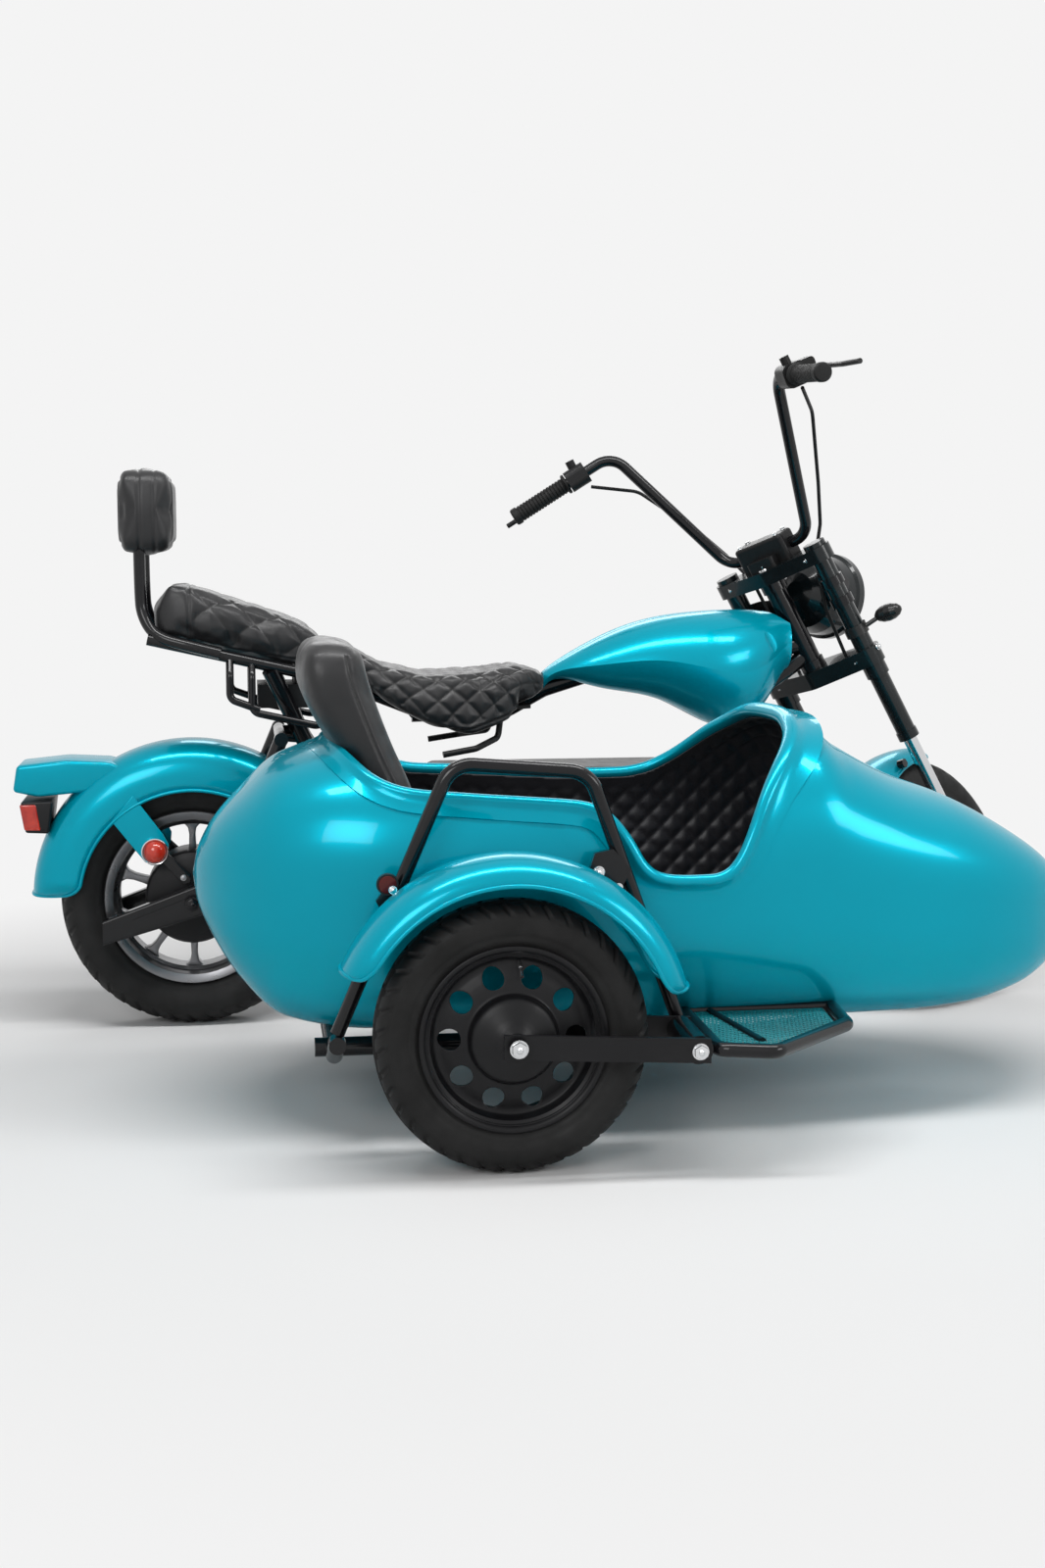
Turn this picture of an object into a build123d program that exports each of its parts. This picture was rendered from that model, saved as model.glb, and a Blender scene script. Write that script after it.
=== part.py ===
from build123d import *
from math import cos, radians, sin
import os

# Electric cruiser motorcycle with a single-seat sidecar on its right side.
# Millimetres. +X is forward, +Y is the rider's left, +Z is up, and the floor is z = 0.

# ---- driving dimensions -------------------------------------------------------------
rear_axle_x = -672.0        # rear axle, from the middle of the machine's length
bike_y = 430.0              # motorcycle's centre plane
sidecar_offset = 610.0      # sidecar body's centre plane, right of the motorcycle's
sidecar_track = 1014.0      # sidecar wheel's centre plane, right of the motorcycle's
sidecar_lead = 477.0        # sidecar axle, ahead of the rear axle

rear_tyre_radius = 247.0
rear_tyre_width = 130.0
front_tyre_radius = 240.0
front_tyre_width = 104.0
sidecar_tyre_radius = 202.0
sidecar_tyre_width = 86.0
bike_bead_radius = 152.0    # 12 inch rim
bike_lip_radius = 165.0
sidecar_bead_radius = 127.0  # 10 inch rim
sidecar_lip_radius = 138.0

rake = 27.9                 # steering axis, back from upright
steer_lock = 43.0           # each way from straight ahead
steer_rest = 43.0           # parked against the left stop
head_x = 1201.0             # steering axis at head_z, ahead of the rear axle
head_z = 700.0
fork_offset = 25.0          # legs and axle, ahead of the steering axis
fork_half = 109.0           # leg centre from the centre plane
fork_length = 530.0         # head_z point down the axis to the front axle
lower_yoke_q = -54.0        # heights along the steering axis
upper_yoke_q = 169.0
sleeve_end_q = -237.0
sleeve_d = 38.0
stanchion_d = 27.0
bar_d = 22.2

bead_share = 0.72            # bead width over tyre width
running_gap = 0.05          # radial, shaft in bore
seat_gap = 0.3              # between pieces that sit on each other
hull_wall = 6.0
lining_wall = 5.0
rail_d = 30.0               # sidecar chassis tube
frame_d = 32.0              # motorcycle frame tube
hoop_d = 22.0
hoop_y = 931.0              # side hoop's plane, right of the motorcycle's centre plane
axle_d = 15.0
bracket_y = sidecar_track - 66.0 - seat_gap    # sidecar fender brackets, against its inner edge

os.makedirs("parts", exist_ok=True)


# ---- places -------------------------------------------------------------------------
def at(x, y, z):
    """Point from distances ahead of the rear axle, left of the motorcycle, above the floor."""
    return Vector(rear_axle_x + x, bike_y + y, z)


def side(y=0.0):
    """Side plane at y from the motorcycle's centre plane: local x forward, local y up."""
    return Plane(origin=at(0, y, 0), x_dir=(1, 0, 0), z_dir=(0, -1, 0))


def across(x, y=0.0):
    """Cross-section plane at x: local x to the left, local y up."""
    return Plane(origin=at(x, y, 0), x_dir=(0, 1, 0), z_dir=(1, 0, 0))


def floor_plane(z, y=0.0):
    """Level plane at height z: local x forward, local y to the left."""
    return Plane(origin=at(0, y, z), x_dir=(1, 0, 0), z_dir=(0, 0, 1))


rake_a = radians(rake)
steer_a = radians(steer_rest)
axis_up = Vector(-sin(rake_a), 0, cos(rake_a))
fork_forward = Vector(cos(rake_a) * cos(steer_a), sin(steer_a), sin(rake_a) * cos(steer_a))
fork_frame = Plane(origin=at(head_x, 0, head_z), x_dir=fork_forward, z_dir=axis_up)


def on_fork(p, w, q):
    """Point from distances ahead of the steering axis, to the left, and up the axis."""
    return fork_frame.from_local_coords(Vector(p, w, q))


def fork_level(q):
    """Plane square to the steering axis at height q."""
    return fork_frame.offset(q)


def fork_side(w=0.0):
    """Side plane of the steered parts: local x ahead of the axis, local y up it."""
    return Plane(origin=on_fork(0, w, 0), x_dir=fork_frame.x_dir, z_dir=-fork_frame.y_dir)


def bent_tube(points, bend, diameter):
    """Round bar along straight runs joined by arcs."""
    with BuildLine() as run:
        FilletPolyline(*points, radius=bend)
    with BuildSketch(Plane(origin=run.line @ 0, z_dir=run.line % 0)) as ring:
        Circle(diameter / 2)
    sweep(sections=ring.sketch, path=run.line)


def straight_rod(start, end, diameter, mode=Mode.ADD):
    """Round bar, or bore, between two points."""
    reach = Vector(end) - Vector(start)
    with BuildSketch(Plane(origin=start, z_dir=reach)) as ring:
        Circle(diameter / 2)
    extrude(ring.sketch, amount=reach.length, mode=mode)


def save(piece, name):
    piece.part.label = name
    export_step(piece.part, f"parts/{name}.step")


# ---- wheels -------------------------------------------------------------------------
rear_hub = Plane(origin=at(0, 0, rear_tyre_radius), x_dir=(1, 0, 0), z_dir=(0, 1, 0))
sidecar_hub = Plane(
    origin=at(sidecar_lead, -sidecar_track, sidecar_tyre_radius), x_dir=(1, 0, 0), z_dir=(0, 1, 0)
)
front_hub = Plane(
    origin=on_fork(fork_offset, 0, -fork_length), x_dir=fork_frame.x_dir, z_dir=fork_frame.y_dir
)


def radial(hub):
    """Half-section plane of a wheel: local x along the axle, local y out from it."""
    return Plane(origin=hub.origin, x_dir=hub.z_dir, z_dir=hub.x_dir)


def tyre_ring(hub, radius, width, bead, lip):
    """Tyre body between its beads, with a round crown."""
    half = width / 2
    foot = half * bead_share
    depth = radius - bead
    side_height = bead + depth * 0.50
    crown_height = radius - depth * 0.17
    with BuildSketch(radial(hub)) as section:
        with BuildLine():
            Line((-foot, bead), (foot, bead))
            Line((foot, bead), (foot, lip + 2))
            ThreePointArc((foot, lip + 2), (half, side_height), (half * 0.80, crown_height))
            ThreePointArc((half * 0.80, crown_height), (0, radius), (-half * 0.80, crown_height))
            ThreePointArc((-half * 0.80, crown_height), (-half, side_height), (-foot, lip + 2))
            Line((-foot, lip + 2), (-foot, bead))
        make_face()
    revolve(section.sketch, axis=Axis(hub.origin, hub.z_dir))


def rim_ring(hub, width, bead, lip):
    """Drop-centre rim that holds the beads between two lips."""
    foot = width / 2 * bead_share + seat_gap
    seat = bead - seat_gap
    wall = 5.0
    with BuildSketch(radial(hub)) as section:
        with BuildLine():
            Polyline(
                (-foot - wall, lip), (-foot, lip), (-foot, seat), (-foot * 0.45, seat - 3),
                (-foot * 0.35, seat - 12), (foot * 0.35, seat - 12), (foot * 0.45, seat - 3),
                (foot, seat), (foot, lip), (foot + wall, lip), (foot + wall, seat - wall),
                (foot * 0.5, seat - wall - 6), (foot * 0.42, seat - wall - 14),
                (-foot * 0.42, seat - wall - 14), (-foot * 0.5, seat - wall - 6),
                (-foot - wall, seat - wall), close=True,
            )
        make_face()
    revolve(section.sketch, axis=Axis(hub.origin, hub.z_dir))


def drum(hub, profile):
    """Turned body: profile rows are (along the axle, radius), closed on the axle."""
    first, last = profile[0][0], profile[-1][0]
    with BuildSketch(radial(hub)) as section:
        with BuildLine():
            Polyline((first, 0), *profile, (last, 0), close=True)
        make_face()
    revolve(section.sketch, axis=Axis(hub.origin, hub.z_dir))


def axle_bore(hub, diameter, length):
    """Through bore on the axle line."""
    with BuildSketch(hub.offset(-length / 2)) as bore:
        Circle(diameter / 2 + running_gap)
    extrude(bore.sketch, amount=length, mode=Mode.SUBTRACT)


def spokes(hub, count, inner, outer, thick, root, waist, tip):
    """Cast spokes, waisted between the hub and their flared feet on the rim."""
    reach = outer - inner
    rows = [
        (0, root / 2), (reach * 0.35, waist / 2), (reach * 0.78, waist / 2), (reach * 0.92, tip * 0.36), (reach, tip / 2),
    ]
    outline = [(inner + along, half) for along, half in rows]
    outline += [(inner + along, -half) for along, half in reversed(rows)]
    with BuildSketch(hub.offset(-thick / 2)) as star:
        for turn in range(count):
            with BuildLine(Rotation(0, 0, turn * 360 / count)) as edge:
                Polyline(*outline, close=True)
            make_face(edge.edges())
    extrude(star.sketch, amount=thick)


with BuildPart() as rear_tyre:
    tyre_ring(rear_hub, rear_tyre_radius, rear_tyre_width, bike_bead_radius, bike_lip_radius)
save(rear_tyre, "rear_tyre")

with BuildPart() as front_tyre:
    tyre_ring(front_hub, front_tyre_radius, front_tyre_width, bike_bead_radius, bike_lip_radius)
save(front_tyre, "front_tyre")

with BuildPart() as sidecar_tyre:
    tyre_ring(sidecar_hub, sidecar_tyre_radius, sidecar_tyre_width, sidecar_bead_radius, sidecar_lip_radius)
save(sidecar_tyre, "sidecar_tyre")

rear_hub_half = 72.0
with BuildPart() as rear_rim:
    rim_ring(rear_hub, rear_tyre_width, bike_bead_radius, bike_lip_radius)
    spokes(rear_hub, 10, 80, 138, 30, 18, 13, 34)
    drum(rear_hub, [(-52, 84), (-46, 90), (46, 90), (52, 84)])
    drum(rear_hub, [(-rear_hub_half, 26), (rear_hub_half, 26)])
    axle_bore(rear_hub, axle_d, 2 * rear_hub_half + 2)
save(rear_rim, "rear_rim")

front_hub_half = 58.0
with BuildPart() as front_rim:
    rim_ring(front_hub, front_tyre_width, bike_bead_radius, bike_lip_radius)
    spokes(front_hub, 10, 30, 138, 26, 16, 13, 34)
    drum(front_hub, [(-front_hub_half, 24), (-34, 24), (-30, 38), (30, 38), (34, 24), (front_hub_half, 24)])
    axle_bore(front_hub, axle_d, 2 * front_hub_half + 2)
save(front_rim, "front_rim")

sidecar_hub_ends = (-70.4, 56.4)    # outboard end and inboard end of the hub tube
vent_ring = 90.0            # circle of the ten round holes in the wheel disc
vent_radius = 15.5
with BuildPart() as sidecar_rim:
    rim_ring(sidecar_hub, sidecar_tyre_width, sidecar_bead_radius, sidecar_lip_radius)
    with BuildSketch(radial(sidecar_hub)) as dish:
        with BuildLine():
            Polyline(
                (-12, 111), (-12, 100), (-24, 84), (-26, 64), (-36, 48), (-46, 38), (-50, 18),
                (-45, 18), (-41, 34), (-31, 43), (-21, 61), (-19, 82), (-7, 98), (-7, 111), close=True,
            )
        make_face()
    revolve(dish.sketch, axis=Axis(sidecar_hub.origin, sidecar_hub.z_dir))
    with BuildSketch(sidecar_hub.offset(-40)) as vents:
        with PolarLocations(vent_ring, 10):
            Circle(vent_radius)
    extrude(vents.sketch, amount=40, mode=Mode.SUBTRACT)
    drum(sidecar_hub, [(sidecar_hub_ends[0], 20), (sidecar_hub_ends[1], 20)])
    axle_bore(sidecar_hub, axle_d, 160)
save(sidecar_rim, "sidecar_rim")


# ---- motorcycle frame ---------------------------------------------------------------
head_half = 21.0
head_low = lower_yoke_q + 17.0 + seat_gap
head_high = upper_yoke_q - 14.0 - seat_gap
stem_d = 25.0
cradle_y = 100.0
seat_rail_y = 112.0
pivot = (330.0, 368.0)
arm_y = 100.0               # swingarm beam's centre
arm_wide = 26.0
shock_y = 130.0
cradle_z = 225.0
box_bars = (560.0, 860.0)   # cross tubes under the battery box
bar_tube_d = 24.0
box_bar_z = cradle_z + (frame_d - bar_tube_d) / 2 - 0.4
loop_y = 134.0              # luggage loops, outside the seat rails
controller_top = 650.0
backbone = ((1180, 0, 712), (1010, 0, 690), (780, 0, 664), (676, 0, 632), (600, 0, 590), (420, 0, 586))
with BuildPart() as main_frame:
    with BuildSketch(fork_level(head_low)) as head:
        Circle(head_half)
    extrude(head.sketch, amount=head_high - head_low)
    straight_rod(on_fork(0, 0, head_low), on_fork(0, 0, head_low + 18), 50)
    straight_rod(on_fork(0, 0, head_high - 18), on_fork(0, 0, head_high), 50)
    bent_tube([at(*row) for row in backbone], 60, frame_d)
    bent_tube([at(1196, 0, 690), at(1088, 0, 612), at(1028, 0, 480), at(985, 0, 250)], 60, frame_d)
    straight_rod(at(985, -cradle_y, 225), at(985, cradle_y, 225), frame_d)
    straight_rod(at(420, -72, 594), at(420, 72, 594), 22)
    for x in box_bars:
        straight_rod(at(x, -cradle_y, box_bar_z), at(x, cradle_y, box_bar_z), bar_tube_d)
    straight_rod(at(200, -seat_rail_y, 676), at(200, seat_rail_y, 676), 18)
    for hand in (-1, 1):
        straight_rod(at(200, hand * 44, 674), at(200, hand * 44, controller_top + seat_gap), 12)
        bent_tube(
            [at(116, hand * seat_rail_y, 694), at(116, hand * (loop_y - 3), 670), at(116, hand * loop_y, 604),
             at(250, hand * loop_y, 574), at(250, hand * (loop_y - 3), 640), at(250, hand * 106, 662)], 18, 14,
        )
        bent_tube(
            [at(76, hand * seat_rail_y, 703), at(76, hand * loop_y, 672), at(76, hand * loop_y, 628),
             at(130, hand * loop_y, 608)], 16, 14,
        )
    straight_rod(at(168, -shock_y + 13 + seat_gap, 553), at(168, shock_y - 13 - seat_gap, 553), 22)
    for hand in (-1, 1):
        straight_rod(at(168, hand * 66, 553), at(212, hand * 66, 549), 20)
    boss_half = arm_y - arm_wide / 2 - 1
    straight_rod(at(pivot[0], -boss_half, pivot[1]), at(pivot[0], boss_half, pivot[1]), 44)
    for hand in (-1, 1):
        bent_tube(
            [at(985, hand * cradle_y, 225), at(560, hand * cradle_y, 225), at(420, hand * 66, 225),
             at(330, hand * 66, 368), at(215, hand * 66, 540), at(150, hand * seat_rail_y, 680)], 40, frame_d,
        )
        bent_tube(
            [at(-72, hand * seat_rail_y, 738), at(200, hand * seat_rail_y, 676), at(285, hand * 100, 652),
             at(350, hand * 74, 626), at(420, hand * 72, 598), at(560, hand * 60, 584)], 30, 22,
        )
    straight_rod(at(pivot[0], -120, pivot[1]), at(pivot[0], 120, pivot[1]), 16 + 2 * seat_gap, Mode.SUBTRACT)
    with BuildSketch(fork_level(head_low - 1)) as bore:
        Circle(stem_d / 2 + running_gap)
    extrude(bore.sketch, amount=head_high - head_low + 2, mode=Mode.SUBTRACT)
save(main_frame, "main_frame")

box_tall = 246.0
with BuildPart() as battery_box:
    with BuildSketch(side(-84)):
        with Locations((690, cradle_z + frame_d / 2 + seat_gap + box_tall / 2)):
            RectangleRounded(486, box_tall, 24)
    extrude(amount=-168)
    fillet(battery_box.edges().group_by(Axis.Y)[0], 10)
    fillet(battery_box.edges().group_by(Axis.Y)[-1], 10)
save(battery_box, "battery_box")

with BuildPart() as controller_box:
    with BuildSketch(side(-70)):
        with Locations((195, controller_top - 22)):
            Rectangle(136, 44)
    extrude(amount=-140)
save(controller_box, "controller_box")

with BuildPart() as swingarm:
    for hand in (-1, 1):
        with BuildSketch(side(hand * arm_y + arm_wide / 2)):
            with BuildLine():
                Polyline(
                    (-165, 170), (0, 217), (330, 325), (372, 350), (372, 390), (330, 412), (0, 277), (-165, 216),
                    close=True,
                )
            make_face()
        extrude(amount=arm_wide)
    fillet(swingarm.edges().filter_by(GeomType.LINE).filter_by(lambda e: e.length > 150), 5)
    for hand in (-1, 1):
        face_y = hand * (arm_y + arm_wide / 2)
        with BuildSketch(side(face_y + 4 if hand > 0 else face_y)):
            with BuildLine():
                Polyline((-110, 196), (300, 330), (300, 374), (-110, 218), close=True)
            make_face()
        extrude(amount=4)
        with BuildSketch(Plane(origin=at(-165, hand * arm_y, 193), x_dir=(0, 1, 0), z_dir=(1, 0, 0))):
            Rectangle(arm_wide - 8, 30)
        extrude(amount=30, mode=Mode.SUBTRACT)
    straight_rod(at(pivot[0], -arm_y - 18, pivot[1]), at(pivot[0], arm_y + 18, pivot[1]), 16)
    straight_rod(at(283, -arm_y, 352), at(283, arm_y, 352), 24)
    straight_rod(at(0, -arm_y - 26, rear_tyre_radius), at(0, arm_y + 26, rear_tyre_radius), axle_d)
    for hand in (-1, 1):
        straight_rod(
            at(0, hand * (arm_y + 12), rear_tyre_radius), at(0, hand * (arm_y + 22), rear_tyre_radius), 30,
        )
        straight_rod(
            at(0, hand * (rear_hub_half + 1), rear_tyre_radius), at(0, hand * arm_y, rear_tyre_radius), 24,
        )
save(swingarm, "swingarm")

with BuildPart() as rear_shocks:
    for hand in (-1, 1):
        straight_rod(at(60, hand * shock_y, 296), at(112, hand * shock_y, 420), 14)
        straight_rod(at(112, hand * shock_y, 420), at(168, hand * shock_y, 553), 26)
        straight_rod(at(80, hand * shock_y, 344), at(128, hand * shock_y, 458), 42)
        straight_rod(at(60, hand * (shock_y - 13), 296), at(60, hand * (shock_y + 13), 296), 26)
        straight_rod(at(168, hand * (shock_y - 13), 553), at(168, hand * (shock_y + 13), 553), 26)
save(rear_shocks, "rear_shocks")


# ---- motorcycle bodywork ------------------------------------------------------------
def arch_outline(centre, inner, outer, start, finish):
    """Ring sector in a side plane, from the start angle to the finish angle."""
    middle = Vector(centre[0], centre[1])
    with BuildLine() as outline:
        CenterArc(centre, outer, start, finish - start)
        CenterArc(centre, inner, start, finish - start)
        for angle in (start, finish):
            reach = Vector(cos(radians(angle)), sin(radians(angle)))
            Line(middle + reach * inner, middle + reach * outer)
    make_face(outline.edges())


fender_half = 86.0
fender_skin = 3.5
fender_outer = 298.0
fender_inner = 200.0
with BuildPart() as rear_fender_void:
    with BuildSketch(side(fender_half - fender_skin)):
        arch_outline((0, rear_tyre_radius), fender_inner - 40, fender_outer - fender_skin, 20, 200)
    extrude(amount=2 * (fender_half - fender_skin))
    fillet(rear_fender_void.edges().filter_by(GeomType.CIRCLE).sort_by(SortBy.LENGTH)[-2:], 36 - fender_skin)
stay_y = arm_y - arm_wide / 2 - seat_gap     # outer face of the fender stays
with BuildPart() as rear_fender:
    with BuildSketch(side(fender_half)):
        arch_outline((0, rear_tyre_radius), fender_inner, fender_outer, 40, 178)
    extrude(amount=2 * fender_half)
    fillet(rear_fender.edges().filter_by(GeomType.CIRCLE).sort_by(SortBy.LENGTH)[-2:], 36)
    add(rear_fender_void.part, mode=Mode.SUBTRACT)
    for hand in (-1, 1):
        with BuildSketch(side(stay_y if hand > 0 else -stay_y + 4)):
            with BuildLine():
                Polyline((-148, 402), (-104, 452), (-20, 336), (22, 278), (14, 263), (-30, 252), (-62, 300), close=True)
            make_face()
        extrude(amount=4)
    with BuildSketch(side(62)):
        with BuildLine():
            Polyline((-200, 440), (-120, 500), (-168, 512), (-318, 500), (-326, 452), close=True)
        make_face()
        with Locations((0, rear_tyre_radius)):
            Circle(fender_outer - 2, mode=Mode.SUBTRACT)
    extrude(amount=124)
save(rear_fender, "rear_fender")

# fork legs at the left and right steering stops, in the level planes of the steered frame
leg_room = 8.0
leg_stops = (
    Vector(fork_offset, fork_half).rotate(Axis.Z, steer_lock - steer_rest),
    Vector(fork_offset, -fork_half).rotate(Axis.Z, -steer_lock - steer_rest),
)
with BuildPart() as fuel_tank:
    # x, half width, bottom, top
    tank_rows = [
        (674, 24, 630, 664), (770, 76, 640, 722), (870, 108, 622, 761), (960, 124, 584, 777),
        (1045, 116, 553, 783), (1105, 84, 590, 781), (1158, 48, 668, 768),
    ]
    for x, half, low, high in tank_rows:
        with BuildSketch(across(x)):
            with BuildLine():
                middle = low + (high - low) * 0.5
                ThreePointArc((-half, middle), (-half * 0.66, high - (high - middle) * 0.22), (0, high))
                ThreePointArc((0, high), (half * 0.66, high - (high - middle) * 0.22), (half, middle))
                ThreePointArc((half, middle), (half * 0.72, low + (middle - low) * 0.26), (0, low))
                ThreePointArc((0, low), (-half * 0.72, low + (middle - low) * 0.26), (-half, middle))
            make_face()
    loft()
    with BuildSketch(side(frame_d / 2 + seat_gap)):
        with BuildLine():
            Polyline(
                (640, 500), (640, 640), (676, 653), (700, 662), (780, 687), (1010, 712), (1160, 734), (1240, 734),
                (1240, 500), close=True,
            )
        make_face()
    extrude(amount=frame_d + 2 * seat_gap, mode=Mode.SUBTRACT)
    with BuildSketch(fork_level(head_low - 100)):
        Circle(head_half + 12)
        for place in leg_stops:
            with Locations(place):
                Circle(sleeve_d / 2 + leg_room)
    extrude(amount=340, mode=Mode.SUBTRACT)
save(fuel_tank, "fuel_tank")

with BuildPart() as seat_pan:
    with BuildSketch(side(84)):
        with BuildLine():
            Polyline(
                (300, 660), (354, 638.6), (422, 609.8), (562, 596.2), (640, 601), (640, 607), (562, 602.4), (424, 616),
                (356, 645), (302, 666), close=True,
            )
        make_face()
    extrude(amount=168)
    with BuildSketch(floor_plane(580)):
        with Locations((530, 0)):
            Rectangle(250, frame_d + 6)
    extrude(amount=60, mode=Mode.SUBTRACT)
    for hand in (-1, 1):
        bent_tube(
            [at(585, hand * 76, 600), at(578, hand * 79, 546), at(528, hand * 146, 532), at(466, hand * 152, 522)],
            14, 12,
        )
save(seat_pan, "seat_pan")

with BuildPart() as rider_seat:
    with BuildSketch(side(135)):
        with BuildLine():
            Polyline(
                (268, 730), (300, 712), (356, 680), (440, 660), (535, 664), (640, 680), (668, 668), (672, 640),
                (640, 610), (596, 578), (520, 556), (446, 576), (380, 612), (300, 668), (262, 700), close=True,
            )
        make_face()
    extrude(amount=270)
    with BuildSketch(side(90)):
        with BuildLine():
            Polyline(
                (250, 500), (250, 672), (330, 664), (430, 622), (560, 612), (640, 618), (690, 630), (690, 500),
                close=True,
            )
        make_face()
    extrude(amount=180, mode=Mode.SUBTRACT)
    with BuildSketch(floor_plane(480)):
        with BuildLine():
            Polyline(
                (260, 104), (330, 126), (430, 135), (520, 132), (590, 108), (640, 82), (674, 66), (674, -66), (640, -82),
                (590, -108), (520, -132), (430, -135), (330, -126), (260, -104), close=True,
            )
        make_face()
    extrude(amount=300, mode=Mode.INTERSECT)
    for start, end in zip(backbone[2:], backbone[3:]):
        straight_rod(at(*start), at(*end), frame_d + 7, Mode.SUBTRACT)
        with Locations(at(*end)):
            Sphere(frame_d / 2 + 3.5, mode=Mode.SUBTRACT)
save(rider_seat, "rider_seat")

with BuildPart() as pillion_seat:
    with BuildSketch(side(118)):
        with BuildLine():
            Polyline(
                (-62, 747.4), (-58, 790), (-34, 836), (-12, 834), (88, 803), (200, 766), (250, 738), (254, 708),
                (200, 687.7), close=True,
            )
        make_face()
    extrude(amount=236)
    with BuildSketch(floor_plane(640)):
        with BuildLine():
            Polyline(
                (-64, 96), (-40, 114), (60, 118), (180, 112), (256, 92), (256, -92), (180, -112), (60, -118), (-40, -114),
                (-64, -96), close=True,
            )
        make_face()
    extrude(amount=220, mode=Mode.INTERSECT)
save(pillion_seat, "pillion_seat")

pad_rear = -82.0
backrest_d = 14.0
bar_rear = pad_rear - backrest_d / 2 - seat_gap
with BuildPart() as backrest_bar:
    for hand in (-1, 1):
        bent_tube(
            [at(bar_rear, hand * 96, 1015), at(bar_rear, hand * 96, 800), at(-64, hand * 130.3, 744),
             at(60, hand * 130.3, 712)], 22, backrest_d,
        )
save(backrest_bar, "backrest_bar")

with BuildPart() as backrest_pad:
    with BuildSketch(across(pad_rear)):
        with Locations((0, 970)):
            RectangleRounded(250, 150, 30)
    extrude(amount=56)
    fillet(backrest_pad.edges().group_by(Axis.X)[-1], 14)
save(backrest_pad, "backrest_pad")

with BuildPart() as tail_lamp:
    with BuildSketch(side(70)):
        with BuildLine():
            Polyline((-220, 374), (-306, 374), (-314, 438), (-220, 438), close=True)
        make_face()
        with Locations((0, rear_tyre_radius)):
            Circle(fender_outer + seat_gap, mode=Mode.SUBTRACT)
    extrude(amount=140)
save(tail_lamp, "tail_lamp")

with BuildPart() as side_lamps:
    for hand in (-1, 1):
        with BuildSketch(side(hand * (stay_y + seat_gap))):
            with Locations((-67, 343)):
                Circle(25)
        extrude(amount=-hand * 34)
    with BuildSketch(side(-bracket_y - seat_gap)):
        with Locations((306, 416)):
            Circle(17)
    extrude(amount=18)
save(side_lamps, "side_lamps")

with BuildPart() as foot_pegs:
    for hand in (-1, 1):
        straight_rod(at(915, hand * (cradle_y + frame_d / 2 + seat_gap), 230), at(915, hand * 236, 242), 28)
save(foot_pegs, "foot_pegs")


# ---- steering -----------------------------------------------------------------------
def yoke_plate(q, thick, leg_ring, stem_ring):
    """Clamp plate round both legs and the stem, with its bores."""
    with BuildSketch(fork_level(q - thick / 2)) as plate:
        with Locations((fork_offset, -fork_half), (fork_offset, fork_half)):
            Circle(leg_ring)
        Circle(stem_ring)
        make_hull()
        with Locations((fork_offset, -fork_half), (fork_offset, fork_half)):
            Circle(sleeve_d / 2 + seat_gap, mode=Mode.SUBTRACT)
    extrude(plate.sketch, amount=thick)


with BuildPart() as upper_yoke:
    yoke_plate(upper_yoke_q, 28, 27, 30)
    with BuildSketch(fork_level(upper_yoke_q - 20)):
        Circle(stem_d / 2 + seat_gap)
    extrude(amount=40, mode=Mode.SUBTRACT)
save(upper_yoke, "upper_yoke")

with BuildPart() as lower_yoke:
    yoke_plate(lower_yoke_q, 34, 27, 32)
    with BuildSketch(fork_level(lower_yoke_q)):
        Circle(stem_d / 2)
    extrude(amount=upper_yoke_q + 14 - lower_yoke_q)
save(lower_yoke, "lower_yoke")

with BuildPart() as fork_sleeves:
    with BuildSketch(fork_level(sleeve_end_q)) as tubes:
        with Locations((fork_offset, -fork_half), (fork_offset, fork_half)):
            Circle(sleeve_d / 2)
    extrude(tubes.sketch, amount=upper_yoke_q + 18 - sleeve_end_q)
    # collars: lower end, height, diameter
    for low, tall, wide in (
        (sleeve_end_q, 16, 42), (lower_yoke_q - 17 - seat_gap - 26, 26, 46), (upper_yoke_q + 14 + seat_gap, 9, 44),
    ):
        with BuildSketch(fork_level(low)) as collars:
            with Locations((fork_offset, -fork_half), (fork_offset, fork_half)):
                Circle(wide / 2)
        extrude(collars.sketch, amount=tall)
save(fork_sleeves, "fork_sleeves")

caliper_at = (fork_offset - 96, 88.0, -fork_length + 40)
with BuildPart() as stanchions:
    with BuildSketch(fork_level(-fork_length)) as rods:
        with Locations((fork_offset, -fork_half), (fork_offset, fork_half)):
            Circle(stanchion_d / 2)
    extrude(rods.sketch, amount=fork_length + sleeve_end_q - seat_gap)
    for hand in (-1, 1):
        straight_rod(
            on_fork(fork_offset, hand * (fork_half - 17), -fork_length),
            on_fork(fork_offset, hand * (fork_half + 17), -fork_length), 40,
        )
        straight_rod(
            on_fork(fork_offset, hand * fork_half, -fork_length + 4),
            on_fork(fork_offset, hand * fork_half, -fork_length + 130), 33,
        )
    with BuildSketch(front_hub.offset(-fork_half - 26)) as bar:
        Circle(axle_d / 2)
    extrude(bar.sketch, amount=2 * fork_half + 52)
    with BuildSketch(front_hub.offset(-fork_half - 23)) as nut:
        RegularPolygon(13, 6)
    extrude(nut.sketch, amount=7)
save(stanchions, "stanchions")

disc_y = 72.0
with BuildPart() as front_disc:
    with BuildSketch(front_hub.offset(disc_y - 2)) as rotor:
        Circle(92)
        Circle(22, mode=Mode.SUBTRACT)
        with PolarLocations(72, 12):
            Circle(5, mode=Mode.SUBTRACT)
        with PolarLocations(44, 6):
            Circle(11, mode=Mode.SUBTRACT)
    extrude(rotor.sketch, amount=4)
    with BuildSketch(front_hub.offset(front_hub_half + seat_gap)) as boss:
        Circle(26)
        Circle(axle_d / 2 + 2, mode=Mode.SUBTRACT)
    extrude(boss.sketch, amount=disc_y - front_hub_half - seat_gap)
save(front_disc, "front_disc")

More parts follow.
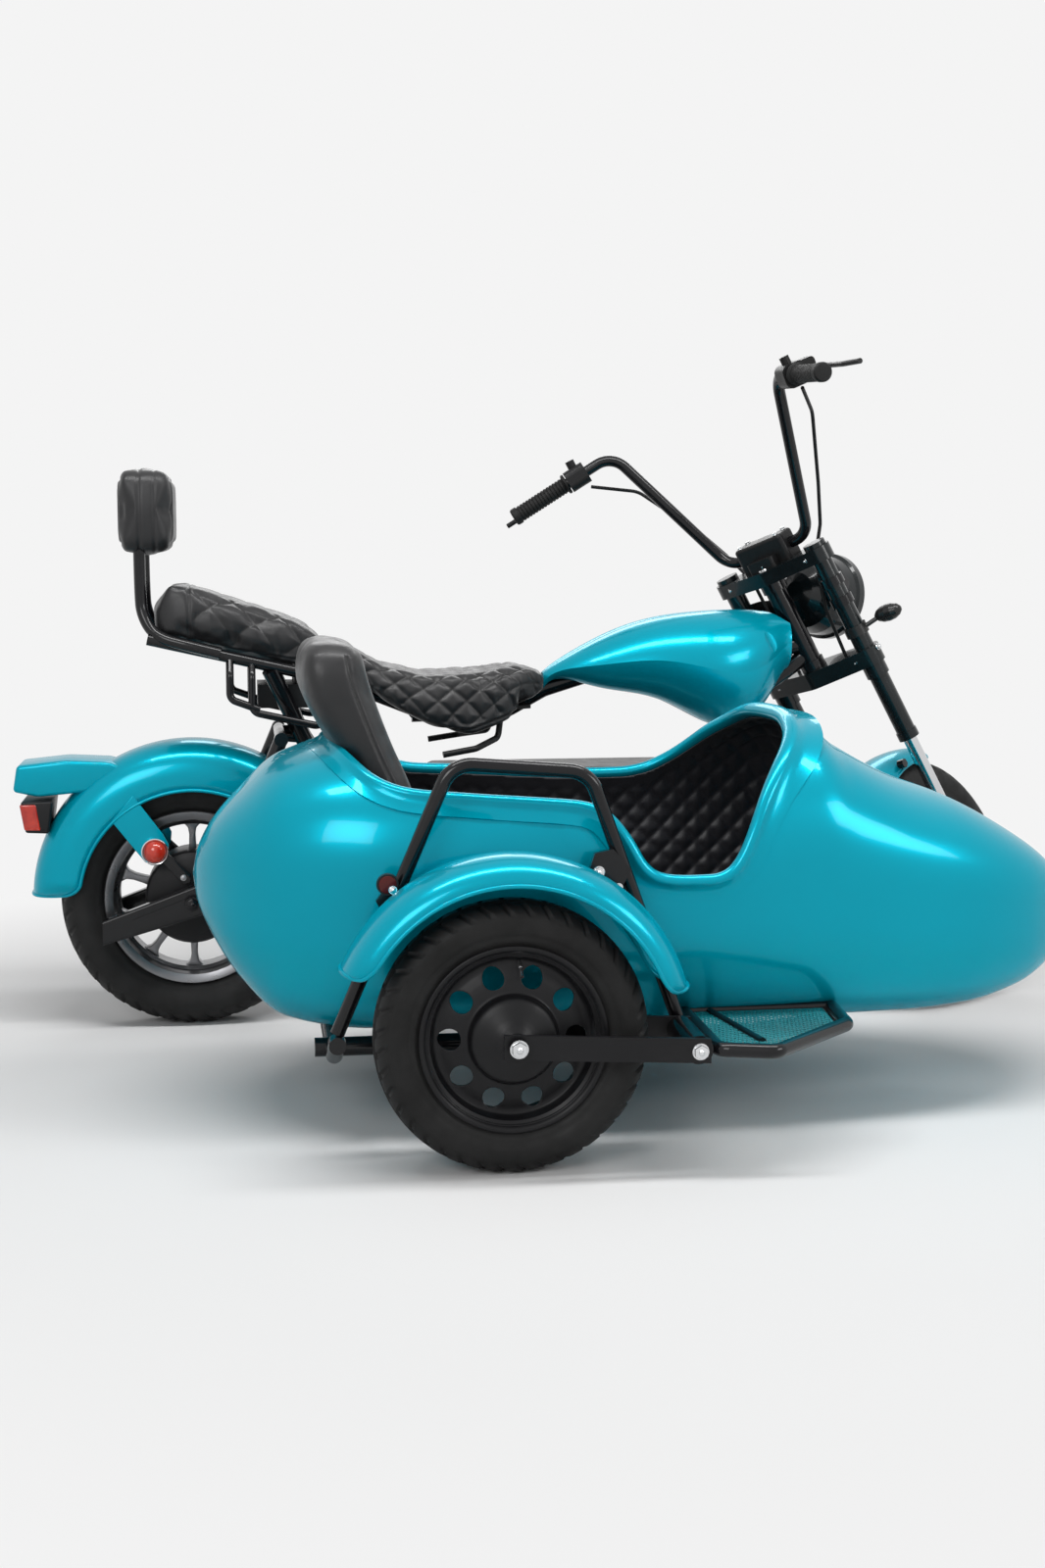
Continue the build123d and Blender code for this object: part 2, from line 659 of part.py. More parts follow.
with BuildPart() as front_caliper:
    with BuildSketch(front_hub.offset(disc_y - 16)) as body:
        with Locations((-78, -40)):
            RectangleRounded(44, 64, 8, rotation=-25)
    extrude(body.sketch, amount=32)
    with BuildSketch(front_hub.offset(disc_y + 12)) as arm:
        with BuildLine():
            Polyline((-92, -30), (-66, -62), (0, -104), (0, -66), (-60, -20), close=True)
        make_face()
    extrude(arm.sketch, amount=fork_half - 16.5 - seat_gap - disc_y - 12 + 8)
    with BuildSketch(front_hub.offset(disc_y - 4)) as slot:
        Circle(97)
    extrude(slot.sketch, amount=8, mode=Mode.SUBTRACT)
    with BuildSketch(fork_level(-fork_length - 20)) as leg:
        with Locations((fork_offset, fork_half)):
            Circle(16.5 + seat_gap)
    extrude(leg.sketch, amount=200, mode=Mode.SUBTRACT)
save(front_caliper, "front_caliper")

front_fender_half = 62.0
with BuildPart() as front_fender_void:
    with BuildSketch(fork_side(front_fender_half - 3)):
        arch_outline((fork_offset, -fork_length), 200, 263, 50, 220)
    extrude(amount=2 * (front_fender_half - 3))
    fillet(front_fender_void.edges().filter_by(GeomType.CIRCLE).sort_by(SortBy.LENGTH)[-2:], 21)
with BuildPart() as front_fender:
    with BuildSketch(fork_side(front_fender_half)):
        arch_outline((fork_offset, -fork_length), 235, 266, 84, 190)
    extrude(amount=2 * front_fender_half)
    fillet(front_fender.edges().filter_by(GeomType.CIRCLE).sort_by(SortBy.LENGTH)[-2:], 24)
    add(front_fender_void.part, mode=Mode.SUBTRACT)
    for hand in (-1, 1):
        straight_rod(
            on_fork(fork_offset, hand * (front_fender_half - 3), -285),
            on_fork(fork_offset, hand * fork_half, -285), 12,
        )
        straight_rod(on_fork(fork_offset, hand * fork_half, -298), on_fork(fork_offset, hand * fork_half, -272), 38)
    with BuildSketch(fork_level(-310)) as legs:
        with Locations((fork_offset, -fork_half), (fork_offset, fork_half)):
            Circle(stanchion_d / 2 + seat_gap)
    extrude(legs.sketch, amount=60, mode=Mode.SUBTRACT)
save(front_fender, "front_fender")

lamp_axis = fork_frame.x_dir * cos(rake_a) - fork_frame.z_dir * sin(rake_a)
lamp_seat = Plane(origin=on_fork(92, 0, 92), x_dir=fork_frame.y_dir, z_dir=lamp_axis)
ear_w = 83.0                # inner face of the lamp brackets
with BuildPart() as headlamp:
    with BuildSketch(Plane(origin=lamp_seat.origin, x_dir=lamp_axis, z_dir=fork_frame.y_dir)) as bowl:
        with BuildLine():
            Polyline((-40, 0), (-40, 20), (-34, 38), (-22, 55), (-4, 69), (26, 78), (56, 81))
            Polyline((56, 81), (60, 86), (76, 86), (80, 82), (80, 76), (66, 76), (66, 0), (-40, 0))
        make_face()
    revolve(bowl.sketch, axis=Axis(lamp_seat.origin, lamp_axis))
    for hand in (-1, 1):
        middle = lamp_seat.origin + lamp_axis * 18
        straight_rod(
            middle + fork_frame.y_dir * (hand * 60), middle + fork_frame.y_dir * (hand * (ear_w - seat_gap)), 26,
        )
save(headlamp, "headlamp")

with BuildPart() as headlamp_lens:
    with BuildSketch(Plane(origin=lamp_seat.origin, x_dir=lamp_axis, z_dir=fork_frame.y_dir)) as glass:
        with BuildLine():
            Polyline((66.3, 0), (66.3, 75.7), (76, 75.7), (80, 62), (84, 40), (86, 18), (86.5, 0), close=True)
        make_face()
    revolve(glass.sketch, axis=Axis(lamp_seat.origin, lamp_axis))
save(headlamp_lens, "headlamp_lens")

with BuildPart() as lamp_brackets:
    for hand in (-1, 1):
        outer = hand * ear_w if hand < 0 else ear_w + 5
        with BuildSketch(fork_side(outer)) as ear:
            with BuildLine():
                Polyline((24, 52), (24, 124), (52, 118), (104, 100), (112, 84), (100, 70), (60, 68), close=True)
            make_face()
        extrude(ear.sketch, amount=5)
        for q in (58, 100):
            straight_rod(on_fork(fork_offset, hand * fork_half, q), on_fork(fork_offset, hand * fork_half, q + 18), 46)
    with BuildSketch(fork_level(20)) as legs:
        with Locations((fork_offset, -fork_half), (fork_offset, fork_half)):
            Circle(sleeve_d / 2 + seat_gap)
    extrude(legs.sketch, amount=120, mode=Mode.SUBTRACT)
save(lamp_brackets, "lamp_brackets")

grip_end = (-139.0, 386.0, 492.0)      # ahead of the axis, from the middle, up the axis
grip_inner = (-61.0, 290.7, 502.8)
riser_foot = (38.0, 98.0, 208.0)
riser_top = (5.0, 210.0, 512.0)
bar_points = [(p, -w, q) for p, w, q in (grip_end, riser_top, riser_foot)]
bar_points += [riser_foot, riser_top, grip_end]
with BuildPart() as handlebar:
    bent_tube([on_fork(*row) for row in bar_points], 46, bar_d)
save(handlebar, "handlebar")

with BuildPart() as bar_clamp:
    with BuildSketch(fork_level(upper_yoke_q + 14 + seat_gap)):
        with Locations((34, 0)):
            RectangleRounded(52, 116, 10)
    extrude(amount=52)
    with BuildSketch(fork_level(upper_yoke_q + 14 + seat_gap)):
        with Locations((20, 0)):
            RectangleRounded(64, 62, 8)
    extrude(amount=20)
    fillet(bar_clamp.faces().sort_by(Axis(fork_frame.origin, fork_frame.z_dir))[-1].edges(), 7)
    with BuildSketch(fork_side(60)):
        with Locations((38, 208)):
            Circle(bar_d / 2 + seat_gap)
    extrude(amount=120, mode=Mode.SUBTRACT)
save(bar_clamp, "bar_clamp")


def grip_line(hand):
    """Inner end and outer end of one grip, and the direction outwards."""
    inner = on_fork(grip_inner[0], hand * grip_inner[1], grip_inner[2])
    end = on_fork(grip_end[0], hand * grip_end[1], grip_end[2])
    return inner, end, (end - inner).normalized()


with BuildPart() as grips:
    for hand in (-1, 1):
        inner, end, along = grip_line(hand)
        with BuildSketch(Plane(origin=inner, z_dir=along)):
            Circle(16.5)
        extrude(amount=(end - inner).length + 5)
        with BuildSketch(Plane(origin=inner, z_dir=along)):
            Circle(20.5)
        extrude(amount=6)
        straight_rod(inner - along, end + along * seat_gap, bar_d + 2 * seat_gap, Mode.SUBTRACT)
save(grips, "grips")

perch_run = (2.0, 44.0)     # from the grip's inner end, towards the middle
mirror_r = 4.0
lever_ahead = 46.0
with BuildPart() as bar_controls:
    for hand in (-1, 1):
        inner, end, along = grip_line(hand)
        ahead = (fork_frame.x_dir - along * fork_frame.x_dir.dot(along)).normalized()
        above = axis_up
        block = Plane(origin=inner - along * perch_run[0], x_dir=ahead, z_dir=-along)
        with BuildSketch(block) as pod:
            RectangleRounded(48, 44, 14)
        extrude(pod.sketch, amount=perch_run[1] - perch_run[0])
        with BuildSketch(block.offset(8)) as perch:
            with Locations((24, -8)):
                RectangleRounded(44, 22, 8)
        extrude(perch.sketch, amount=24)
        root = inner - along * 22 + ahead * lever_ahead - above * 6
        bent_tube(
            [root, root + along * 30 + ahead * 8, root + along * 112 + ahead * 8,
             root + along * 170 + ahead * 16], 24, 10,
        )
        seat = inner - along * (perch_run[0] + perch_run[1]) / 2
        straight_rod(seat + above * 10, seat + above * 36, 18)
        straight_rod(seat + above * 19, seat + above * 37, 2 * mirror_r, Mode.SUBTRACT)
        straight_rod(inner + along, inner - along * 50, bar_d + 2 * seat_gap, Mode.SUBTRACT)
save(bar_controls, "bar_controls")

hose_d = 7.0
with BuildPart() as brake_hoses:
    for hand in (-1, 1):
        bent_tube(
            [on_fork(-26, hand * 268, 474), on_fork(44, hand * 222, 420), on_fork(70, hand * 150, 290),
             on_fork(72, hand * 112, 214), on_fork(56, hand * 78, 158), on_fork(34, hand * 62, 60),
             on_fork(30, hand * 58, lower_yoke_q + 17 + seat_gap)], 40, hose_d,
        )
save(brake_hoses, "brake_hoses")

indicator_w = 176.0
with BuildPart() as indicators:
    for hand in (-1, 1):
        straight_rod(on_fork(30, hand * (fork_half + 20), 2), on_fork(44, hand * 152, 6), 9)
        straight_rod(on_fork(fork_offset, hand * fork_half, -8), on_fork(fork_offset, hand * fork_half, 12), 46)
        pod = Plane(origin=on_fork(48, hand * indicator_w, 8), x_dir=fork_frame.y_dir, z_dir=fork_frame.x_dir)
        with BuildSketch(pod) as half_oval:
            with BuildLine():
                Polyline(
                    (-30, 0), (-28, 6), (-22, 11.5), (-12, 15.6), (0, 17), (12, 15.6), (22, 11.5), (28, 6), (30, 0),
                    close=True,
                )
            make_face()
        revolve(half_oval.sketch, axis=Axis(pod.origin, pod.x_dir))
    with BuildSketch(fork_level(-20)) as legs:
        with Locations((fork_offset, -fork_half), (fork_offset, fork_half)):
            Circle(sleeve_d / 2 + seat_gap)
    extrude(legs.sketch, amount=60, mode=Mode.SUBTRACT)
save(indicators, "indicators")


# ---- sidecar ------------------------------------------------------------------------
hull_floor = 148.0
# hull sections: x, then the half width of the flat floor, of the waist and of the flat deck,
# then the heights of floor, waist and deck
hull_rows = [
    (30, 26, 62, 24, 336, 394, 436),
    (56, 66, 124, 62, 270, 390, 484),
    (104, 108, 184, 100, 206, 386, 532),
    (176, 150, 232, 138, 160, 384, 582),
    (290, 186, 268, 178, hull_floor, 382, 608),
    (390, 196, 278, 194, hull_floor, 383, 610),
    (500, 202, 283, 203, hull_floor, 384, 612),
    (610, 205, 285, 207, hull_floor, 384, 613),
    (720, 206, 286, 208, hull_floor, 384, 614),
    (815, 204, 285, 200, hull_floor, 382, 618),
    (905, 200, 282, 184, hull_floor, 380, 625),
    (985, 192, 276, 160, hull_floor, 376, 630),
    (1050, 184, 268, 142, hull_floor, 370, 570),
    (1150, 164, 250, 124, hull_floor, 360, 534),
    (1260, 132, 220, 100, 154, 344, 490),
    (1360, 92, 172, 70, 176, 328, 438),
    (1430, 52, 112, 40, 216, 318, 388),
    (1466, 22, 62, 20, 262, 312, 350),
]


def hull_solid(inset):
    """Hull drawn in by inset: six-sided sections with round corners, lofted from tail to nose."""
    sections = []
    for x, floor_half, waist_half, deck_half, low, waist, high in hull_rows:
        sense = 1 if x < 600 else -1
        shift = inset * sense * (0.9 if x < 60 or x > 1440 else 0)
        shrink = (waist_half - inset) / waist_half
        with BuildSketch(across(x + shift, -sidecar_offset)) as ring:
            with BuildLine():
                Polyline(
                    (-floor_half * shrink, low + inset), (floor_half * shrink, low + inset),
                    (waist_half - inset, waist), (deck_half * shrink, high - inset),
                    (-deck_half * shrink, high - inset), (-waist_half + inset, waist), close=True,
                )
            make_face()
            fillet(ring.vertices(), min(floor_half * 0.62, deck_half * 0.62, 76) * shrink)
        sections.append(ring.sketch)
    loft(sections)


# the cockpit opening seen from the side: x, height
far_rim = [(272, 560), (330, 530), (400, 514), (690, 503), (790, 524), (900, 572), (960, 612), (984, 660)]
near_rim = [
    (272, 560), (330, 535), (400, 526), (640, 505), (690, 432), (716, 400), (846, 400), (884, 430), (926, 540),
    (962, 612), (984, 660),
]


def rim_cut(line, start, drop):
    """Prism across the hull above one rim line."""
    with BuildSketch(side(start), mode=Mode.PRIVATE) as gap:
        with BuildLine():
            Polyline((line[0][0], 800), *[(x, z - drop) for x, z in line], (line[-1][0], 800), close=True)
        make_face()
    extrude(gap.sketch, amount=330, mode=Mode.SUBTRACT)


def cockpit_cut(drop):
    """Opening: high along the left wall, dipped at the step on the right."""
    rim_cut(near_rim, -sidecar_offset, drop)
    rim_cut(far_rim, -sidecar_offset + 330, drop)


with BuildPart() as sidecar_hull:
    hull_solid(0)
with BuildPart() as hull_room:
    hull_solid(hull_wall)
with BuildPart() as lining_skin:
    hull_solid(hull_wall + seat_gap)
with BuildPart() as lining_room:
    hull_solid(hull_wall + seat_gap + lining_wall)
with BuildPart() as seat_relief:
    hull_solid(-seat_gap)

with BuildPart() as sidecar_body:
    add(sidecar_hull.part)
    add(hull_room.part, mode=Mode.SUBTRACT)
    cockpit_cut(0)
save(sidecar_body, "sidecar_body")

seat_box = (345.0, 690.0, 216.7)    # rear, front and top of the seat base
seat_box_half = 112.0
lining_run = (286.0, 1080.0)        # rear and front end of the lining
with BuildPart() as sidecar_lining:
    add(lining_skin.part)
    with BuildSketch(side(0)):
        with Locations((sum(lining_run) / 2, 400)):
            Rectangle(lining_run[1] - lining_run[0], 700)
    extrude(amount=1200, mode=Mode.INTERSECT)
    add(lining_room.part, mode=Mode.SUBTRACT)
    cockpit_cut(4)
    with BuildSketch(side(-sidecar_offset + seat_box_half)):
        with BuildLine():
            Polyline(
                (seat_box[0], 158.5), (seat_box[0], seat_box[2]), (seat_box[1], seat_box[2]), (seat_box[1], 158.5),
                close=True,
            )
        make_face()
    extrude(amount=2 * seat_box_half)
save(sidecar_lining, "sidecar_lining")


# ---- sidecar seat -------------------------------------------------------------------
cushion_tall = 92.0
cushion_top = seat_box[2] + seat_gap + cushion_tall
with BuildPart() as sidecar_seat_back:
    with BuildSketch(side(-sidecar_offset + 180)):
        with BuildLine():
            Polyline((184, 560), (184, 726), (208, 748), (252, 748), (300, 716), (300, 560), close=True)
        make_face()
    extrude(amount=360)
    add(seat_relief.part, mode=Mode.SUBTRACT)
    with BuildSketch(side(-sidecar_offset + 180)):
        with BuildLine():
            Polyline(
                (300, 330), (300, 690), (300, 716), (352, 545), (418, cushion_top + seat_gap),
                (330, cushion_top + seat_gap), close=True,
            )
        make_face()
    extrude(amount=360)
save(sidecar_seat_back, "sidecar_seat_back")

with BuildPart() as sidecar_cushion:
    with BuildSketch(side(-sidecar_offset + 176)):
        with Locations((522, cushion_top - cushion_tall / 2)):
            RectangleRounded(330, cushion_tall, 20)
    extrude(amount=352)
save(sidecar_cushion, "sidecar_cushion")


# ---- sidecar chassis ----------------------------------------------------------------
rail_z = hull_floor - 0.7 - rail_d / 2
rail_y = 165.0              # chassis rails, either side of the sidecar's centre plane
inner_end = -sidecar_offset + 300.0   # cross tubes end between the hull and the motorcycle
hoop_feet = ((228.0, 188.0), (742.0, 199.0))
cross_d = 26.0
flange_d = 42.0
arm_bar_t = 8.0
arm_bar_h = 36.0
inner_bar_y = 953.0
outer_bar_y = 1089.0
bar_pivot = (hoop_feet[1][0], hoop_feet[1][1] - 12)
with BuildPart() as sidecar_chassis:
    for hand in (-1, 1):
        bent_tube(
            [at(200, -sidecar_offset + hand * rail_y, rail_z), at(900, -sidecar_offset + hand * rail_y, rail_z),
             at(1050, -sidecar_offset + hand * 104, rail_z)], 80, rail_d,
        )
    straight_rod(at(1020, -sidecar_offset - 112, rail_z), at(1020, -sidecar_offset + 112, rail_z), 24)
    for x, z in hoop_feet:
        bent_tube(
            [at(x, inner_end, rail_z), at(x, -sidecar_offset - 222, rail_z), at(x, -hoop_y + 12, z - 12),
             at(x, -inner_bar_y + arm_bar_t / 2 + seat_gap, z - 12)], 30, cross_d,
        )
        straight_rod(at(x, inner_end - 5, rail_z), at(x, inner_end, rail_z), flange_d)
    straight_rod(
        at(sidecar_lead, -sidecar_offset - rail_y, rail_z), at(sidecar_lead, -sidecar_offset + rail_y, rail_z), 24,
    )
save(sidecar_chassis, "sidecar_chassis")

with BuildPart() as side_hoop:
    foot_lift = cross_d / 2 + seat_gap - 12 + 1.3
    bent_tube(
        [at(hoop_feet[0][0], -hoop_y, hoop_feet[0][1] + foot_lift), at(400, -hoop_y, 592), at(606, -hoop_y, 576),
         at(hoop_feet[1][0], -hoop_y, hoop_feet[1][1] + foot_lift)], 46, hoop_d,
    )
    for outline in (
        ((296, 372), (286, 392), (306, 420), (330, 404), (340, 378), (326, 366)),
        ((668, 430), (640, 462), (612, 456), (600, 420), (604, 396), (646, 392)),
    ):
        with BuildSketch(side(-hoop_y - 6)) as plate:
            with BuildLine():
                Polyline(*outline, close=True)
            make_face()
        extrude(plate.sketch, amount=bracket_y - hoop_y - 6)
save(side_hoop, "side_hoop")

with BuildPart() as wheel_bars:
    for centre in (inner_bar_y, outer_bar_y):
        with BuildSketch(side(-centre + arm_bar_t / 2)):
            with BuildLine():
                Polyline(
                    (sidecar_lead - 20, sidecar_tyre_radius + arm_bar_h / 2),
                    (bar_pivot[0] + 16, bar_pivot[1] + arm_bar_h / 2),
                    (bar_pivot[0] + 16, bar_pivot[1] - arm_bar_h / 2),
                    (sidecar_lead - 20, sidecar_tyre_radius - arm_bar_h / 2), close=True,
                )
            make_face()
        extrude(amount=arm_bar_t)
    straight_rod(
        at(sidecar_lead, -inner_bar_y + 12, sidecar_tyre_radius),
        at(sidecar_lead, -outer_bar_y - 14, sidecar_tyre_radius), axle_d,
    )
    for start, reach in ((-outer_bar_y - arm_bar_t / 2 - 9, 10), (-inner_bar_y + arm_bar_t / 2 - 1, 10)):
        with BuildSketch(side(start + reach)) as nut:
            with Locations((sidecar_lead, sidecar_tyre_radius)):
                RegularPolygon(13, 6)
        extrude(nut.sketch, amount=reach)
save(wheel_bars, "wheel_bars")

fender_from = 15.0           # degrees above level, at the front
fender_to = 156.0            # and at the rear, over the top
with BuildPart() as sidecar_fender:
    with BuildSketch(radial(sidecar_hub), mode=Mode.PRIVATE) as crown:
        with BuildLine():
            ThreePointArc((-66, 238), (0, 268), (66, 238))
            ThreePointArc((-64, 236), (0, 264.5), (64, 236))
            Line((-66, 238), (-64, 236))
            Line((66, 238), (64, 236))
        make_face()
    backward = Axis(sidecar_hub.origin, -sidecar_hub.z_dir)
    front_edge = crown.sketch.rotate(backward, fender_from - 90)
    revolve(profiles=front_edge, axis=backward, revolution_arc=fender_to - fender_from)
save(sidecar_fender, "sidecar_fender")

board_z = 187.0
board_d = 22.0
board_rear = bar_pivot[0] + arm_bar_h / 2 + seat_gap + board_d / 2
with BuildPart() as footboard_frame:
    bent_tube(
        [at(board_rear, -838, board_z), at(board_rear, -1085, board_z), at(850, -1108, board_z),
         at(1000, -960, board_z), at(1010, -838, board_z)], 20, board_d,
    )
    straight_rod(at(board_rear, -842, board_z), at(1010, -842, board_z), 20)
    straight_rod(
        at(bar_pivot[0], -inner_bar_y - arm_bar_t / 2 - seat_gap, bar_pivot[1]),
        at(bar_pivot[0], -outer_bar_y + arm_bar_t / 2 + seat_gap, bar_pivot[1]), 42,
    )
save(footboard_frame, "footboard_frame")

mesh_rear = board_rear + board_d / 2 + seat_gap
with BuildPart() as footboard_mesh:
    with BuildSketch(floor_plane(board_z - 1.5)) as panel:
        with BuildLine():
            Polyline(
                (mesh_rear, -854), (mesh_rear, -1066), (846, -1086), (984, -952), (994, -854), close=True,
            )
        make_face()
    extrude(panel.sketch, amount=3)
save(footboard_mesh, "footboard_mesh")

strut_start = inner_end + seat_gap
with BuildPart() as connecting_struts:
    for x, _ in hoop_feet:
        straight_rod(at(x, strut_start, rail_z), at(x, strut_start + 6, rail_z), flange_d)
    bent_tube(
        [at(hoop_feet[1][0], strut_start, rail_z), at(hoop_feet[1][0], -250, rail_z),
         at(hoop_feet[1][0], -170, cradle_z), at(hoop_feet[1][0], -cradle_y - frame_d / 2 - seat_gap, cradle_z)],
        30, cross_d,
    )
    bent_tube(
        [at(hoop_feet[0][0], strut_start, rail_z), at(hoop_feet[0][0], -270, rail_z),
         at(600, -180, cradle_z), at(600, -cradle_y - frame_d / 2 - seat_gap, cradle_z)], 24, cross_d,
    )
save(connecting_struts, "connecting_struts")

with BuildPart() as upper_struts:
    bent_tube(
        [at(hoop_feet[0][0] + 50, -295, rail_z + 60), at(226, -150, 526), at(222, -82.9, 527)], 24, 20,
    )
    bent_tube(
        [at(hoop_feet[1][0] + 50, -295, rail_z + 60), at(985, -70, 430), at(1014, -17.8, 445)], 24, 20,
    )
save(upper_struts, "upper_struts")
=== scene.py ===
import math
import bpy
import bmesh
from mathutils import Matrix, Vector
from mathutils.bvhtree import BVHTree


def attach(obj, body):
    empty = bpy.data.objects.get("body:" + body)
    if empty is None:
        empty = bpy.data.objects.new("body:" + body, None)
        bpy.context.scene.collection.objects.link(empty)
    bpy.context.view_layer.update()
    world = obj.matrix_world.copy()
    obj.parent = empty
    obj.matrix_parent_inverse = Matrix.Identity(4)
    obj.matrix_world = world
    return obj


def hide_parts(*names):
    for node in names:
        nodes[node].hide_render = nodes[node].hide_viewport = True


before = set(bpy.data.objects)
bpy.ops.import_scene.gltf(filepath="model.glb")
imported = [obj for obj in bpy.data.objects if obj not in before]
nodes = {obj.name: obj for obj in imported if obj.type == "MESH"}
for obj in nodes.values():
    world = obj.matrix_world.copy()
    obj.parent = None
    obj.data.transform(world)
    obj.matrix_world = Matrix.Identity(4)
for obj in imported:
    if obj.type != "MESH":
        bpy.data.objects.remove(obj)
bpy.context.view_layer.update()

forward, upright = Vector((1, 0, 0)), Vector((0, 0, 1))
left, right = Vector((0, 1, 0)), Vector((0, -1, 0))
sides = ((-1, right), (1, left))      # sign and direction of each side
rearAxleX, bikeY = -0.672, 0.430      # rear axle and the motorcycle's centre plane


def at(x, y, z):
    # millimetres ahead of the rear axle, left of the motorcycle, above the floor
    return Vector((rearAxleX + x / 1000, bikeY + y / 1000, z / 1000))


# steered parts: place and directions of the fork's own axes
rake, lock = math.radians(27.9), math.radians(43.0)
forkUp = Vector((-math.sin(rake), 0, math.cos(rake)))
forkAhead = Vector((math.cos(rake) * math.cos(lock), math.sin(lock), math.sin(rake) * math.cos(lock)))
forkLeft = forkUp.cross(forkAhead)
forkHead = at(1201, 0, 700)


def onFork(p, w, q):
    # millimetres ahead of the steering axis, to the left, and up the axis
    return forkHead + (forkAhead * p + forkLeft * w + forkUp * q) / 1000


# wheel centres
rearHub, frontHub, sidecarHub = at(0, 0, 247), onFork(25, 0, -530), at(477, -1014, 202)


def aimed(direction, axis="Z"):
    # the turn that points an object's own axis along direction
    return Vector(direction).to_track_quat(axis, "Y")


def grey(level):
    return (level, level, level, 1)


def meshFrom(name, bm):
    mesh = bpy.data.meshes.new(name)
    bm.to_mesh(mesh)
    bm.free()
    return mesh


def addObject(name, data):
    made = bpy.data.objects.new(name, data)
    bpy.context.scene.collection.objects.link(made)
    return made


def addAimed(name, data, place, direction):
    # a camera or lamp that looks along direction
    made = addObject(name, data)
    made.location = place
    made.rotation_mode = "QUATERNION"
    made.rotation_quaternion = aimed(direction, "-Z")
    return made


def addNode(tree, kind, inputs=None, **settings):
    # one shader node; an input is a value or the output that feeds it
    node = tree.nodes.new("ShaderNode" + kind)
    for key, value in settings.items():
        setattr(node, key, value)
    for key, value in (inputs or {}).items():
        if isinstance(value, bpy.types.NodeSocket):
            tree.links.new(value, node.inputs[key])
        else:
            node.inputs[key].default_value = value
    return node


def clearedTree(owner):
    owner.use_nodes = True
    owner.node_tree.nodes.clear()
    return owner.node_tree


# camera, stage and light
camSettings = {"place": (-0.5796, -3.4529, 0.9191), "yaw": -7.97, "pitch": 6.874, "focal": 46.555, "sensor": 36,
               "clip": (0.05, 60)}


def makeCamera(s):
    camData = bpy.data.cameras.new("mainCamera")
    camData.lens, camData.sensor_width = s["focal"], s["sensor"]
    camData.clip_start, camData.clip_end = s["clip"]
    a, e = math.radians(s["yaw"]), math.radians(s["pitch"])
    aim = Vector((-math.sin(a) * math.cos(e), math.cos(a) * math.cos(e), -math.sin(e)))
    bpy.context.scene.camera = addAimed("mainCamera", camData, s["place"], aim)


stageSettings = {"grey": 0.905, "floorHalf": 30.0, "floorLow": 0.0006, "floorTone": 0.74, "shadowReach": (1.1, 2.2),
                 "ambient": 0.32}
lampSettings = [
    # name, place, aimed at, width, height, watts
    ("overheadStrip", (0.0, -0.7, 2.9), (0.0, 0.0, 0.4), 3.2, 0.40, 66),
    ("frontSoftbox", (-1.9, -3.2, 2.1), (-0.1, -0.1, 0.4), 1.5, 1.3, 36),
    ("noseSoftbox", (2.6, -2.2, 1.9), (0.5, -0.2, 0.5), 1.4, 0.9, 26),
    ("backSoftbox", (0.3, 3.0, 2.2), (0.0, 0.2, 0.5), 2.4, 0.8, 26),
]


def makeLamp(name, place, target, width, height, watts):
    lampData = bpy.data.lights.new(name, "AREA")
    lampData.shape = "RECTANGLE"
    lampData.size, lampData.size_y = width, height
    lampData.energy = watts
    addAimed(name, lampData, place, Vector(target) - Vector(place))


def makeWorld(s):
    world = bpy.data.worlds.new("studio")
    bpy.context.scene.world = world
    tree = clearedTree(world)
    shown = addNode(tree, "Background", {"Color": grey(s["grey"]), "Strength": 1.0})
    ambient = addNode(tree, "Background", {"Color": grey(1), "Strength": s["ambient"]})
    # camera, mirror and glass rays see the pale backdrop, light that bounces gets the ambient level
    rays = addNode(tree, "LightPath").outputs
    seen = addNode(tree, "Math", {0: rays["Is Camera Ray"], 1: rays["Is Glossy Ray"]}, operation="MAXIMUM")
    seen = addNode(tree, "Math", {0: seen.outputs[0], 1: rays["Is Transmission Ray"]}, operation="MAXIMUM")
    mix = addNode(tree, "MixShader", {0: seen.outputs[0], 1: ambient.outputs[0], 2: shown.outputs[0]})
    addNode(tree, "OutputWorld", {0: mix.outputs[0]})
    world.cycles.sampling_method = "NONE"      # even surroundings need no light map


def makeFloor(s):
    bm = bmesh.new()
    bmesh.ops.create_grid(bm, x_segments=2, y_segments=2, size=s["floorHalf"])
    bmesh.ops.translate(bm, verts=bm.verts, vec=(0, 0, -s["floorLow"]))
    floor = addObject("studioFloor", meshFrom("studioFloor", bm))
    mat = bpy.data.materials.new("paleFloor")
    tree = clearedTree(mat)
    lit = addNode(tree, "BsdfDiffuse", {"Color": grey(s["floorTone"])})
    plain = addNode(tree, "Emission", {"Color": grey(s["grey"])})
    # shadows near the object, plain backdrop further out
    near, far = s["shadowReach"]
    distance = addNode(tree, "VectorMath", {0: addNode(tree, "TexCoord").outputs["Object"]}, operation="LENGTH")
    fade = addNode(tree, "MapRange", {"Value": distance.outputs["Value"], "From Min": near, "From Max": far},
                   interpolation_type="SMOOTHSTEP")
    mix = addNode(tree, "MixShader", {0: fade.outputs[0], 1: lit.outputs[0], 2: plain.outputs[0]})
    addNode(tree, "OutputMaterial", {0: mix.outputs[0]})
    floor.data.materials.append(mat)


makeCamera(camSettings)
makeWorld(stageSettings)
makeFloor(stageSettings)
for row in lampSettings:
    makeLamp(*row)
bpy.context.scene.view_settings.view_transform = "Standard"
print("stage: camera, floor and lamps made")


# finishes
def noiseNode(tree, coords, scale, detail=3.0):
    return addNode(tree, "TexNoise", {"Vector": coords, "Scale": scale, "Detail": detail}).outputs[0]


